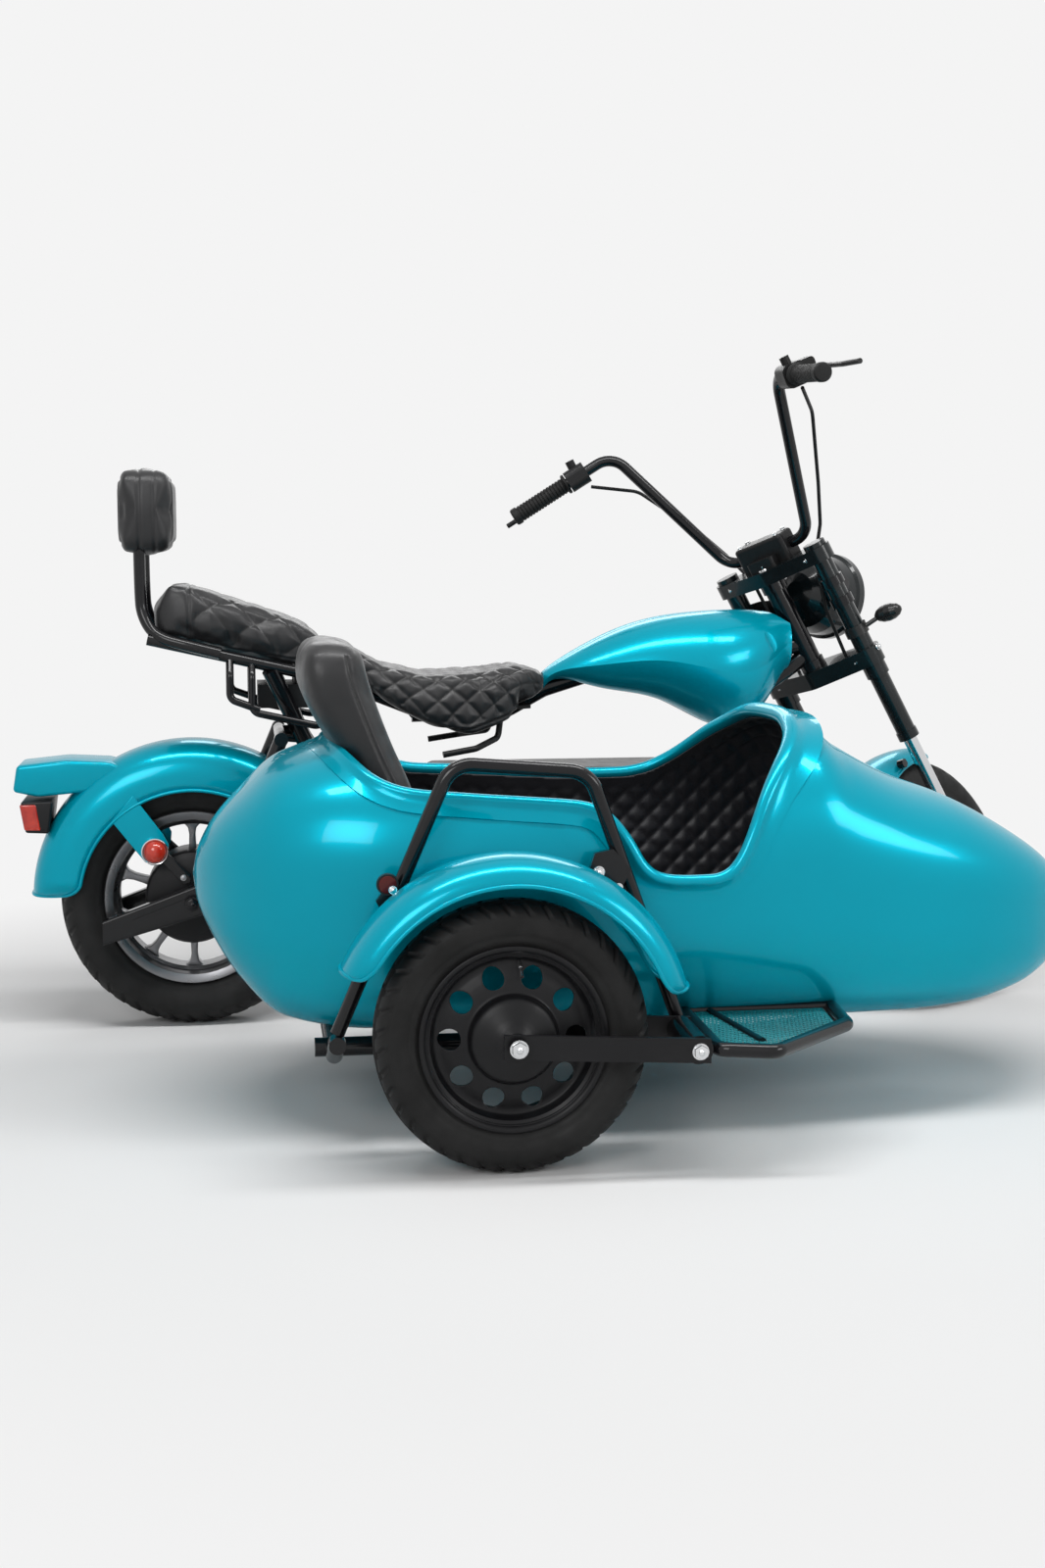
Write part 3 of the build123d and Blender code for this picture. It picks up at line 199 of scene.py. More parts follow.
def spreadNode(tree, value, low, high, fromLow=0.3, fromHigh=0.7):
    return addNode(tree, "MapRange", {"Value": value, "From Min": fromLow, "From Max": fromHigh,
                                      "To Min": low, "To Max": high}).outputs[0]


def rampNode(tree, value, dark, light, low=0.35, high=0.65):
    node = addNode(tree, "ValToRGB", {0: value})
    for stop, place, colour in zip(node.color_ramp.elements, (low, high), (dark, light)):
        stop.position, stop.color = place, (*colour, 1)
    return node.outputs[0]


def leatherGrain(tree, coords, scale):
    # fine cells over broad soft folds
    cells = addNode(tree, "TexVoronoi", {"Vector": coords, "Scale": scale}, feature="DISTANCE_TO_EDGE")
    folds = noiseNode(tree, coords, 38, 4.0)
    both = addNode(tree, "Math", {0: cells.outputs["Distance"], 1: 0.9, 2: folds}, operation="MULTIPLY_ADD")
    return both.outputs[0]


# sockets that a finish may set, each with what it has otherwise
shaderDefaults = {
    "metallic": ("Metallic", 0.0), "specular": ("Specular IOR Level", 0.5), "coat": ("Coat Weight", 0.0),
    "coatRough": ("Coat Roughness", 0.03), "coatIor": ("Coat IOR", 1.4), "sheen": ("Sheen Weight", 0.0),
    "transmission": ("Transmission Weight", 0.0), "ior": ("IOR", 1.5),
}


def makeFinish(name, s):
    mat = bpy.data.materials.new(name)
    mat.use_nodes = True
    tree = mat.node_tree
    shader = tree.nodes["Principled BSDF"]
    coords = addNode(tree, "TexCoord").outputs["Object"]
    tone = noiseNode(tree, coords, s.get("toneScale", 6), 4.0)
    colour = rampNode(tree, tone, s["dark"], s["light"])
    if "seam" in s:      # sewn lines, read from the piece's own attribute
        seam = addNode(tree, "Attribute", attribute_name="seam").outputs["Fac"]
        mix = addNode(tree, "Mix", data_type="RGBA")
        tree.links.new(seam, mix.inputs["Factor"])
        tree.links.new(colour, mix.inputs[6])
        mix.inputs[7].default_value = (*s["seam"], 1)
        colour = mix.outputs[2]
    tree.links.new(colour, shader.inputs["Base Color"])
    wear = noiseNode(tree, coords, s.get("wearScale", 40), 2.0)
    tree.links.new(spreadNode(tree, wear, *s["rough"]), shader.inputs["Roughness"])
    for key, (socket, usual) in shaderDefaults.items():
        shader.inputs[socket].default_value = s.get(key, usual)
    if not s["bump"]:
        return mat
    grain = (leatherGrain if s.get("leather") else noiseNode)(tree, coords, s.get("grainScale", 260))
    bump = addNode(tree, "Bump", {"Height": grain, "Strength": s["bump"], "Distance": 0.0004})
    tree.links.new(bump.outputs[0], shader.inputs["Normal"])
    return mat


def look(dark, light, rough, bump, **more):
    return {"dark": dark, "light": light, "rough": rough, "bump": bump, **more}


finishes = {
    "tealPaint": look((0.0, 0.29, 0.39), (0.0, 0.345, 0.465), (0.256, 0.264), 0, toneScale=0.9, wearScale=6,
                      metallic=0.4, coat=0.45, coatRough=0.015, coatIor=1.33, specular=0.0),
    "tyreRubber": look((0.006,) * 3, (0.013,) * 3, (0.50, 0.68), 0.3, toneScale=14, grainScale=420,
                       specular=0.22),
    "rimSilver": look((0.14, 0.14, 0.145), (0.22, 0.22, 0.23), (0.26, 0.38), 0.1, metallic=0.9),
    "wheelBlack": look((0.005, 0.005, 0.006), (0.009, 0.009, 0.010), (0.34, 0.44), 0.10, grainScale=600,
                       specular=0.24),
    "frameBlack": look((0.003, 0.003, 0.004), (0.006, 0.006, 0.007), (0.16, 0.24), 0.04, grainScale=700,
                       coat=0.4, coatRough=0.06, specular=0.2),
    "caseBlack": look((0.006,) * 3, (0.011, 0.011, 0.012), (0.36, 0.48), 0.2, grainScale=900, specular=0.22),
    "forkBlack": look((0.004, 0.006, 0.007), (0.007, 0.010, 0.011), (0.18, 0.26), 0.03, grainScale=700,
                      coat=0.5, coatRough=0.04, specular=0.22),
    "brightChrome": look((0.62, 0.63, 0.64), (0.74, 0.75, 0.76), (0.06, 0.14), 0.03, grainScale=90,
                         metallic=1.0),
    "satinSteel": look((0.34, 0.34, 0.35), (0.46, 0.46, 0.47), (0.28, 0.42), 0.08, grainScale=300,
                       metallic=1.0),
    "seatLeather": look((0.006, 0.006, 0.007), (0.012, 0.012, 0.013), (0.36, 0.48), 0.3, leather=True,
                        grainScale=620, seam=(0.0015,) * 3, toneScale=9, specular=0.42, sheen=0.04),
    "liningCloth": look((0.010, 0.010, 0.013), (0.018, 0.018, 0.022), (0.40, 0.52), 0.3, leather=True,
                        grainScale=520, specular=0.5, sheen=0.08),
    "gripRubber": look((0.006,) * 3, (0.011,) * 3, (0.5, 0.64), 0.3, grainScale=800, specular=0.2),
    "meshTeal": look((0.0, 0.13, 0.15), (0.0, 0.19, 0.215), (0.3, 0.42), 0.1, metallic=0.3),
    "redLens": look((0.035, 0.001, 0.001), (0.09, 0.002, 0.001), (0.12, 0.2), 0.1, grainScale=120, coat=0.3,
                    specular=0.25),
    "stayRed": look((0.36, 0.012, 0.004), (0.60, 0.035, 0.012), (0.08, 0.16), 0.15, grainScale=220,
                    toneScale=40, coat=0.5),
    "smokedLens": look((0.010,) * 3, (0.018,) * 3, (0.22, 0.3), 0.05, grainScale=160, specular=0.35),
    "clearLens": look((0.80, 0.83, 0.85), (0.90, 0.92, 0.93), (0.02, 0.05), 0.15, grainScale=60,
                      transmission=0.9),
}
mats = {name: makeFinish(name, s) for name, s in finishes.items()}

cadFinish = {
    "tealPaint": "rear_fender fuel_tank front_fender sidecar_body sidecar_fender",
    "tyreRubber": "rear_tyre front_tyre sidecar_tyre",
    "rimSilver": "rear_rim front_rim",
    "wheelBlack": "sidecar_rim wheel_bars",
    "frameBlack": "main_frame swingarm sidecar_chassis side_hoop footboard_frame connecting_struts upper_struts"
                  " backrest_bar handlebar lamp_brackets front_caliper rear_shocks",
    "caseBlack": "battery_box controller_box seat_pan bar_clamp bar_controls brake_hoses",
    "forkBlack": "upper_yoke lower_yoke fork_sleeves headlamp",
    "brightChrome": "stanchions",
    "satinSteel": "front_disc",
    "seatLeather": "rider_seat pillion_seat backrest_pad sidecar_seat_back sidecar_cushion",
    "liningCloth": "sidecar_lining",
    "gripRubber": "grips foot_pegs",
    "meshTeal": "footboard_mesh",
    "redLens": "tail_lamp side_lamps",
    "smokedLens": "indicators",
    "clearLens": "headlamp_lens",
}
for finish, names in cadFinish.items():
    for name in names.split():
        piece = nodes[name]
        if not piece.material_slots:
            piece.data.materials.append(None)
        for held in piece.material_slots:
            held.link = "OBJECT"
            held.material = mats[finish]
print("finishes:", len(mats), "made and given to", len(nodes), "CAD pieces")


# mesh helpers
def dressPiece(piece, finish, body, slotName, replaced, sharp=None):
    mesh = piece.data
    for poly in mesh.polygons:
        poly.use_smooth = True
    if sharp:
        mesh.set_sharp_from_angle(angle=math.radians(sharp))
    mesh.materials.clear()
    mesh.materials.append(mats[finish])
    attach(piece, body)
    if replaced:
        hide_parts(*replaced)
    return piece


def finishPiece(bm, name, finish, body, slotName, sharp=40, replaced=()):
    return dressPiece(addObject(name, meshFrom(name, bm)), finish, body, slotName, replaced, sharp)


def addWall(piece, thick):
    # a wall of thick metres grown inwards from the outer skin
    wall = piece.modifiers.new("wall", "SOLIDIFY")
    wall.thickness, wall.offset = thick, -1


def weld(bm, near=1e-6):
    bmesh.ops.remove_doubles(bm, verts=bm.verts, dist=near)


def evenNormals(bm):
    bmesh.ops.recalc_face_normals(bm, faces=bm.faces)


def faceOut(bm, towards, outward):
    # normals recalculated, so that the face furthest towards one side looks outward
    evenNormals(bm)
    tip = max(bm.faces, key=lambda f: f.calc_center_median().dot(towards))
    if tip.normal.dot(outward) < 0:
        bmesh.ops.reverse_faces(bm, faces=bm.faces)


def mergeClose(bm):
    weld(bm)
    evenNormals(bm)


def gridSheet(across, along, place, closed=False):
    # a grid of across x along faces, each corner moved to place(u, v)
    bm = bmesh.new()
    bmesh.ops.create_grid(bm, x_segments=across, y_segments=along, size=1.0)
    for v in bm.verts:
        v.co = place((v.co.x + 1) / 2, (v.co.y + 1) / 2)
    if closed:
        mergeClose(bm)
    return bm


def spinSection(bm, centre, axis, section, steps, side=None, ring=False):
    # a section of (along the axis, radius) rows in millimetres, spun once round
    side = side or axis.orthogonal().normalized()
    verts = [bm.verts.new(centre + (axis * a + side * r) / 1000) for a, r in section]
    edges = [bm.edges.new(pair) for pair in zip(verts, verts[1:] + verts[:1] if ring else verts[1:])]
    bmesh.ops.spin(bm, geom=verts + edges, cent=centre, axis=axis, angle=2 * math.pi, steps=steps, use_merge=True)


def edgesOf(verts):
    return list(dict.fromkeys(e for v in verts for e in v.link_edges))


def raiseOutline(bm, corners, step):
    # a flat face through the corners, extruded by step; gives all the new edges
    foot = [bm.verts.new(c) for c in corners]
    moved = bmesh.ops.extrude_face_region(bm, geom=[bm.faces.new(foot)])["geom"]
    top = [g for g in moved if isinstance(g, bmesh.types.BMVert)]
    bmesh.ops.translate(bm, verts=top, vec=step)
    return edgesOf(foot + top)


def softenEdges(bm, edges, wide, segments):
    bmesh.ops.bevel(bm, geom=edges, offset=wide, segments=segments, profile=0.5, affect="EDGES", material=-1)


def smoothStep(x, low, high):
    t = max(0.0, min(1.0, (x - low) / (high - low)))
    return t * t * (3 - 2 * t)


def curveThrough(rows):
    # smooth curve through rows of numbers, spaced by their first one, without overshoot
    xs = [r[0] for r in rows]
    count = len(rows)

    def slopes(k):
        d = [(rows[i + 1][k] - rows[i][k]) / (xs[i + 1] - xs[i]) for i in range(count - 1)]
        inner = [0 if a * b <= 0 else 2 * a * b / (a + b) for a, b in zip(d, d[1:])]
        return [d[0]] + inner + [d[-1]]

    tangents = [slopes(k) for k in range(1, len(rows[0]))]

    def value(x):
        i = 0
        while i < count - 2 and x > xs[i + 1]:
            i += 1
        h = xs[i + 1] - xs[i]
        t = max(0.0, min(1.0, (x - xs[i]) / h))
        a, b, c = 2 * t ** 3 - 3 * t ** 2 + 1, t ** 3 - 2 * t ** 2 + t, t ** 3 - t ** 2
        return [a * rows[i][k + 1] + b * h * m[i] + (1 - a) * rows[i + 1][k + 1] + c * h * m[i + 1]
                for k, m in enumerate(tangents)]

    return value


def cutAlong(bm, level):
    # cuts faces exactly where level(point) is zero, and removes the side where it is above
    heights = {v: level(v.co) for v in bm.verts}
    made = []
    for e in list(bm.edges):
        a, b = e.verts
        if heights[a] * heights[b] < 0:
            share = heights[a] / (heights[a] - heights[b])
            _, newVert = bmesh.utils.edge_split(e, a, share)
            heights[newVert] = 0.0
            made.append(newVert)
    bmesh.ops.connect_verts(bm, verts=made)
    gone = [f for f in bm.faces if sum(heights[v] for v in f.verts) > 1e-9]
    bmesh.ops.delete(bm, geom=gone, context="FACES")


def borderLoops(bm):
    # ordered points of each open edge loop, always found in the same order
    free = dict.fromkeys(e for e in bm.edges if e.is_boundary)
    loops = []
    while free:
        e = next(iter(free))
        del free[e]
        path = [e.verts[0], e.verts[1]]
        while path[-1] is not path[0]:
            step = next((n for n in path[-1].link_edges if n in free), None)
            if step is None:
                break
            del free[step]
            path.append(step.other_vert(path[-1]))
        loops.append([v.co.copy() for v in path[:-1]])
    return loops


def evenLoop(points, count, rounds=4):
    # the closed path again, evenly spaced and relaxed
    total = [0.0]
    for a, b in zip(points, points[1:] + points[:1]):
        total.append(total[-1] + (b - a).length)
    result = []
    k = 0
    for i in range(count):
        goal = total[-1] * i / count
        while total[k + 1] < goal:
            k += 1
        a, b = points[k], points[(k + 1) % len(points)]
        span = total[k + 1] - total[k]
        result.append(a.lerp(b, (goal - total[k]) / span if span else 0))
    for _ in range(rounds):
        result = [(result[i - 1] + result[i] * 2 + result[(i + 1) % count]) / 4 for i in range(count)]
    return result


# sidecar hull
hull = {
    # place from tail to nose, distance ahead, half width, and heights of floor, waist and deck
    "rows": [
        (0.0, 14, 4, 386, 386, 388), (0.06, 20, 44, 348, 388, 420), (0.13, 40, 96, 300, 388, 462),
        (0.24, 88, 166, 226, 387, 518), (0.36, 160, 224, 166, 385, 578), (0.50, 290, 268, 148, 382, 608),
        (0.58, 390, 278, 148, 383, 610), (0.66, 500, 283, 148, 384, 612), (0.74, 610, 285, 148, 384, 613),
        (0.82, 720, 286, 148, 384, 614), (0.89, 815, 284, 148, 382, 618), (0.96, 905, 281, 148, 380, 628),
        (1.02, 985, 275, 148, 376, 634), (1.08, 1050, 268, 148, 370, 590), (1.17, 1150, 250, 148, 360, 536),
        (1.28, 1260, 220, 154, 344, 494), (1.38, 1360, 172, 176, 328, 440), (1.46, 1430, 112, 212, 318, 390),
        (1.51, 1462, 62, 250, 312, 352), (1.55, 1476, 4, 308, 310, 313),
    ],
    "centre": -610, "lowPower": 3.6, "highPower": 2.7, "around": 176, "along": 230, "wall": 0.0045,
}
hullEnd = hull["rows"][-1][0]
hullAt = curveThrough(hull["rows"])


def hullPoint(u, v, inset=0.0):
    # u goes once round the section from the floor's middle, v from tail to nose
    x, half, low, waist, high = hullAt(v * hullEnd)
    angle = 2 * math.pi * u - math.pi / 2
    c, s = math.cos(angle), math.sin(angle)
    power = hull["highPower"] if s > 0 else hull["lowPower"]
    tall = (high - waist if s > 0 else waist - low) - inset
    wide = max(half - inset, 0.5)
    reach = (abs(c) ** power + abs(s) ** power) ** (-1 / power)
    return at(x, hull["centre"] + wide * reach * c, waist + tall * reach * s)


opening = {
    # distance ahead and height of the rim, on the side of the wheel and on the far side
    "nearRim": [(232, 586), (256, 569), (285, 553), (318, 541), (352, 534), (438, 527), (525, 521), (600, 515),
                (632, 506), (656, 484), (675, 456), (693, 424), (720, 405), (756, 400), (806, 400), (832, 408),
                (852, 430), (868, 462), (883, 496), (902, 532), (926, 565), (951, 594), (970, 622), (984, 668)],
    "farRim": [(232, 586), (330, 538), (393, 521), (495, 516), (598, 509), (701, 505), (764, 506), (804, 513),
               (844, 532), (880, 558), (913, 586), (944, 610), (984, 668)],
    "rear": 219, "rearCurve": 900, "crossing": 90, "corner": 14,
}
nearRimAt = curveThrough(opening["nearRim"])
farRimAt = curveThrough(opening["farRim"])


def openingLevel(point, drop=0.0):
    # above zero inside the opening, in millimetres above its rim
    raw = (point.x - rearAxleX) * 1000
    y = (point.y - bikeY) * 1000 - hull["centre"]
    blend = smoothStep(y, -opening["crossing"], opening["crossing"])
    x = max(opening["nearRim"][0][0], min(raw, opening["nearRim"][-1][0]))
    rim = nearRimAt(x)[0] * (1 - blend) + farRimAt(x)[0] * blend - drop
    above = point.z * 1000 - rim
    # rear end of the opening, rounded in plan, and the corner between it and the rim
    behind = raw - opening["rear"] - y * y / opening["rearCurve"] - drop * 0.3
    near, far = min(above, behind), max(above, behind)
    corner = opening["corner"]
    return near - corner * math.log(1 + math.exp((near - far) / corner)) if far - near < 160 else near


def makeHull(s):
    bm = gridSheet(s["around"], s["along"], hullPoint, closed=True)
    whole = BVHTree.FromBMesh(bm)
    cutAlong(bm, openingLevel)
    weld(bm, 0.0004)
    edge = max(borderLoops(bm), key=len)
    faceOut(bm, -upright, -upright)
    piece = finishPiece(bm, "sidecarHull", "tealPaint", "root", "teal_paint", 60, ["sidecar_body"])
    addWall(piece, s["wall"])
    return edge, whole


lip = {
    # rolled edge: how far it laps over the skin, how high it stands and how round it is, in metres
    "reach": 0.030, "rise": 0.0060, "round": 0.0100, "inset": 0.0015, "lift": 0.0035,
    "arc": (125, -110), "steps": 16,      # degrees, and steps between them
    # how far its lapped part stands out from the skin, by share of the reach
    "lap": [(1.0, 0.0001), (0.75, 0.0006), (0.5, 0.0018), (0.28, 0.0036)],
    "under": [(-0.002, -0.0085), (-0.030, -0.0032)],
    "count": 620, "relax": 8, "calm": 10, "cowlGrowth": 0.55, "cowl": (860, 960),
}


def makeLip(edge, whole, s):
    path = evenLoop(edge, s["count"], s["relax"])
    outs, inwards = [], []
    for i, p in enumerate(path):
        out = whole.find_nearest(p)[1].normalized()
        along = (path[(i + 1) % len(path)] - path[i - 1]).normalized()
        inward = along.cross(out).normalized()
        if openingLevel(p + inward * 0.004) < openingLevel(p - inward * 0.004):
            inward = -inward
        outs.append(out)
        inwards.append(inward)
    for _ in range(s["calm"]):      # calmer directions along the path
        outs, inwards = [[(row[i - 1] + row[i] + row[(i + 1) % len(row)]).normalized() for i in range(len(row))]
                         for row in (outs, inwards)]
    # section of the rolled edge: distances towards the opening and out from the skin
    section = [(-s["reach"] * share, high) for share, high in s["lap"]]
    first, last = s["arc"]
    for k in range(s["steps"] + 1):
        angle = math.radians(first - (first - last) * k / s["steps"])
        section.append((s["inset"] + s["round"] * math.cos(angle),
                        s["rise"] - s["round"] + s["round"] * math.sin(angle) + s["lift"]))
    section += s["under"]

    def place(u, v):
        i = round(u * s["count"]) % s["count"]
        d, n = section[round(v * len(section)) % len(section)]
        size = 1 + s["cowlGrowth"] * smoothStep((path[i].x - rearAxleX) * 1000, *s["cowl"])
        return path[i] + inwards[i] * d * size + outs[i] * n * (size if n > 0.001 else 1)

    bm = gridSheet(s["count"], len(section), place, closed=True)
    finishPiece(bm, "sidecarLip", "tealPaint", "root", "teal_paint", 60)


hullEdge, hullWhole = makeHull(hull)
makeLip(hullEdge, hullWhole, lip)
print("sidecar: hull with", len(hullEdge), "rim points and rolled lip")


# quilted lining
lining = {
    # reach between tail and nose, and millimetres: distance from the skin and below the rim, plain border,
    # size of the diamonds and height of their padding
    "from": 0.485, "to": 1.11, "inset": 8.5, "drop": 7.0, "plain": 15.0, "cell": (43.0, 47.0), "puff": 5.5,
    "girth": 1500, "around": 300, "along": 190, "wall": 0.0018,
}


def diamondPuff(a, b, wide, tall):
    # 0 on the sewn lines, 1 in the middle of each diamond
    p, q = a / wide + b / tall, a / wide - b / tall
    nearest = min(abs(p - round(p)), abs(q - round(q))) * 2
    return 1 - (1 - nearest) ** 2.6, nearest


def makeLining(s):
    def place(u, v):
        share = (s["from"] + (s["to"] - s["from"]) * v) / hullEnd
        base = hullPoint(u, share, s["inset"])
        x, _, _, waist, _ = hullAt(share * hullEnd)
        inwards = at(x, hull["centre"], waist + 20) - base
        inwards.x = 0
        inwards.normalize()
        below = -openingLevel(base, s["drop"])
        puff, _ = diamondPuff(x, s["girth"] * u, *s["cell"])
        quilted = smoothStep(below, s["plain"], s["plain"] + 9)
        height = (puff * quilted + 0.75 * (1 - quilted)) * s["puff"]
        return base + inwards * (height / 1000)

    bm = gridSheet(s["around"], s["along"], place)
    weld(bm)
    cutAlong(bm, lambda p: openingLevel(p, s["drop"]))
    faceOut(bm, -upright, upright)
    piece = finishPiece(bm, "quiltedLining", "liningCloth", "root", "lining", 180, ["sidecar_lining"])
    addWall(piece, s["wall"])


makeLining(lining)
print("sidecar: quilted lining")


# tyres
tyres = {
    "rearTyreTread": {"centre": rearHub, "axle": left, "radius": 247, "wide": 130, "bead": 152, "lip": 165,
                      "body": "rear_wheel", "node": "rear_tyre", "pitches": 44},
    "frontTyreTread": {"centre": frontHub, "axle": forkLeft, "radius": 240, "wide": 104, "bead": 152, "lip": 165,
                       "body": "front_wheel", "node": "front_tyre", "pitches": 44},
    "sidecarTyreTread": {"centre": sidecarHub, "axle": left, "radius": 202, "wide": 86, "bead": 127, "lip": 138,
                         "body": "sidecar_wheel", "node": "sidecar_tyre", "pitches": 40},
}
tread = {
    # side wall from bead to shoulder: share of the half width with radius past the rim's lip, then past the bead
    "bead": (0.72, 1), "rim": [(0.74, 1), (0.80, 5), (0.815, 5.6), (0.87, 11), (0.875, 13.2), (0.93, 18)],
    "wall": [(0.97, 0.42), (0.995, 0.50), (0.998, 0.58), (0.985, 0.66), (0.968, 0.70)],
    "crownSteps": 26, "crownWide": 0.94, "crownTurn": 1.18, "crownFall": 0.26, "crownBend": 1.35,
    "perPitch": 10, "lean": 0.13,      # columns in one pitch of the pattern, and how far it leans
    # grooves: steps across the crown, columns of the pitch and depth; lengthways, crossways and middle ones
    "grooves": [((9, 10, 16, 17), range(10), 4.5), ((*range(9), *range(18, 27)), (0, 1, 2), 5.0),
                ((12, 13, 14), (5, 6), 3.0)],
}


def makeTyre(name, s, t):
    half, depth = s["wide"] / 2, s["radius"] - s["bead"]
    side = [(t["bead"][0], s["bead"] + t["bead"][1])] + [(w, s["lip"] + r) for w, r in t["rim"]]
    side += [(w, s["bead"] + depth * r) for w, r in t["wall"]]
    # section from bead to bead: along the axle, radius, and place across the tread from -1 to 1
    crown = []
    turn, bend = t["crownTurn"], t["crownBend"]
    for k in range(t["crownSteps"] + 1):
        a = -1 + 2 * k / t["crownSteps"]
        wide = t["crownWide"] * half * math.sin(a * turn) / math.sin(turn)
        fall = (1 - math.cos(abs(a) ** 1.25 * bend)) / (1 - math.cos(bend))
        crown.append((wide, s["radius"] - depth * t["crownFall"] * fall, a))
    section = [(-w * half, r, None) for w, r in side] + crown + [(w * half, r, None) for w, r in reversed(side)]
    count = s["pitches"] * t["perPitch"]
    up = s["axle"].orthogonal().normalized()
    ahead = s["axle"].cross(up)

    def groove(k, column):
        return next((deep for across, columns, deep in t["grooves"] if k in across and column in columns), 0.0)

    def place(u, v):
        column = round(u * count) % count
        k = round(v * (len(section) - 1))
        wide, radius, a = section[k]
        skew = 0.0
        if a is not None:
            skew = abs(a) ** 1.3 * t["lean"]
            radius -= groove(k - len(side), column % t["perPitch"]) * smoothStep(1.02 - abs(a), 0.0, 0.1)
        angle = 2 * math.pi * column / count + skew
        return s["centre"] + (s["axle"] * wide + (up * math.cos(angle) + ahead * math.sin(angle)) * radius) / 1000

    bm = gridSheet(count, len(section) - 1, place)
    weld(bm)
    bmesh.ops.bridge_loops(bm, edges=[e for e in bm.edges if e.is_boundary])
    evenNormals(bm)
    finishPiece(bm, name, "tyreRubber", s["body"], "tyre", 32, [s["node"]])


for name, s in tyres.items():
    makeTyre(name, s, tread)
print("wheels: tyres with tread")


# soft goods
backForm = {
    # height, rear face, front face and half width of the blade
    "rows": [(330, 262, 420, 150), (480, 262, 372, 150), (536, 256, 352, 150), (589, 242, 328, 151),
             (619, 226, 316, 152), (660, 204, 301, 153), (700, 188, 288, 152), (722, 184, 283, 149),
             (740, 185, 280, 143), (751, 189, 275, 133), (759, 198, 266, 117)],
    "centre": -610, "cuts": 27, "corner": 4.6,
}
backFormAt = curveThrough(backForm["rows"])


def bladeMesh(s):
    # a leaning blade that stands inside the rear end of the opening
    bm = bmesh.new()
    bmesh.ops.create_cube(bm, size=2)
    bmesh.ops.subdivide_edges(bm, edges=bm.edges, cuts=s["cuts"], use_grid_fill=True)
    low, high, power = s["rows"][0][0], s["rows"][-1][0], s["corner"]
    for v in bm.verts:
        a, b, c = v.co
        z = low + (high - low) * (c + 1) / 2
        rear, front, half = backFormAt(z)
        draw = max(abs(a), abs(b), 1e-6) * (abs(a) ** power + abs(b) ** power + 1e-9) ** (-1 / power)
        a, b = a * draw, b * draw
        swept = (b * half) ** 2 / 1500 * smoothStep(680 - z, 0, 90) * (1 - a) / 2
        v.co = at((rear + front) / 2 + a * (front - rear) / 2 + swept, s["centre"] + b * half, z)
    return bm


def bakeModifiers(piece):
    graph = bpy.context.evaluated_depsgraph_get()
    baked = bpy.data.meshes.new_from_object(piece.evaluated_get(graph))
    piece.modifiers.clear()
    old = piece.data
    piece.data = baked
    baked.name = piece.name
    bpy.data.meshes.remove(old)


def relax(bm, rounds):
    for _ in range(rounds):
        bmesh.ops.smooth_vert(bm, verts=bm.verts, factor=0.5, use_axis_x=True, use_axis_y=True, use_axis_z=True)


def relaxMesh(mesh, rounds):
    bm = bmesh.new()
    bm.from_mesh(mesh)
    relax(bm, rounds)
    bm.to_mesh(mesh)
    bm.free()


clothSettings = {"tension_stiffness": 30, "compression_stiffness": 30, "shear_stiffness": 10,
                 "bending_stiffness": 2, "quality": 4, "use_pressure": True, "uniform_pressure_force": 3.0}
clothFrames = 20


def puffUp(pad, cap):
    # a short cloth run swells the cover; no point moves further than cap
    scene = bpy.context.scene
    rest = [v.co.copy() for v in pad.data.vertices]
    cloth = pad.modifiers.new("cloth", "CLOTH")
    for key, value in clothSettings.items():
        setattr(cloth.settings, key, value)
    cloth.settings.effector_weights.gravity = 0
    cloth.point_cache.frame_start, cloth.point_cache.frame_end = 1, clothFrames
    for step in range(1, clothFrames + 1):
        scene.frame_set(step)
    bakeModifiers(pad)
    scene.frame_set(1)
    for v, start in zip(pad.data.vertices, rest):
        moved = v.co - start
        if moved.length > cap:
            v.co = start + moved.normalized() * cap
    relaxMesh(pad.data, 2)


def padMesh(name, s):
    if name == "sidecarBackrest":
        bm = bladeMesh(backForm)
    else:
        bm = bmesh.new()
        bm.from_mesh(nodes[s["node"]].data)
        weld(bm, 1e-5)
    evenNormals(bm)
    pad = addObject(name, meshFrom(name, bm))
    remesh = pad.modifiers.new("remesh", "REMESH")
    remesh.mode, remesh.voxel_size = "VOXEL", s["voxel"]
    bakeModifiers(pad)
    relaxMesh(pad.data, s["relax"])
    puffUp(pad, s["cap"])
    if "deepen" in s:      # deepened backwards over its carrying tubes
        front = max(v.co.x for v in pad.data.vertices)
        for v in pad.data.vertices:
            v.co.x = front - (front - v.co.x) * s["deepen"]
    return pad


crest = {}      # highest point of the pad in hand at each centimetre along it


def girth(p):
    # distance over the cover from the seat's middle line
    row = p[0] / 10
    low = math.floor(row)
    share = row - low
    top = crest.get(low, p[2]) * (1 - share) + crest.get(low + 1, crest.get(low, p[2])) * share
    return abs(p[1]) + max(0, top - p[2] - 6) * 0.9


def sewnLine(distance, wide, deep):
    # depth of a sewn line at a distance from it
    t = abs(distance) / wide
    return deep * math.exp(-t * t)


def quilt(a, b, cell, deep, inside, thread):
    # depth of sewn diamonds where inside is 1, and the thread of their lines
    puff, nearest = diamondPuff(a, b, *cell)
    return (1 - puff) * deep * inside, 1.0 if nearest < thread and inside > 0.5 else 0.0


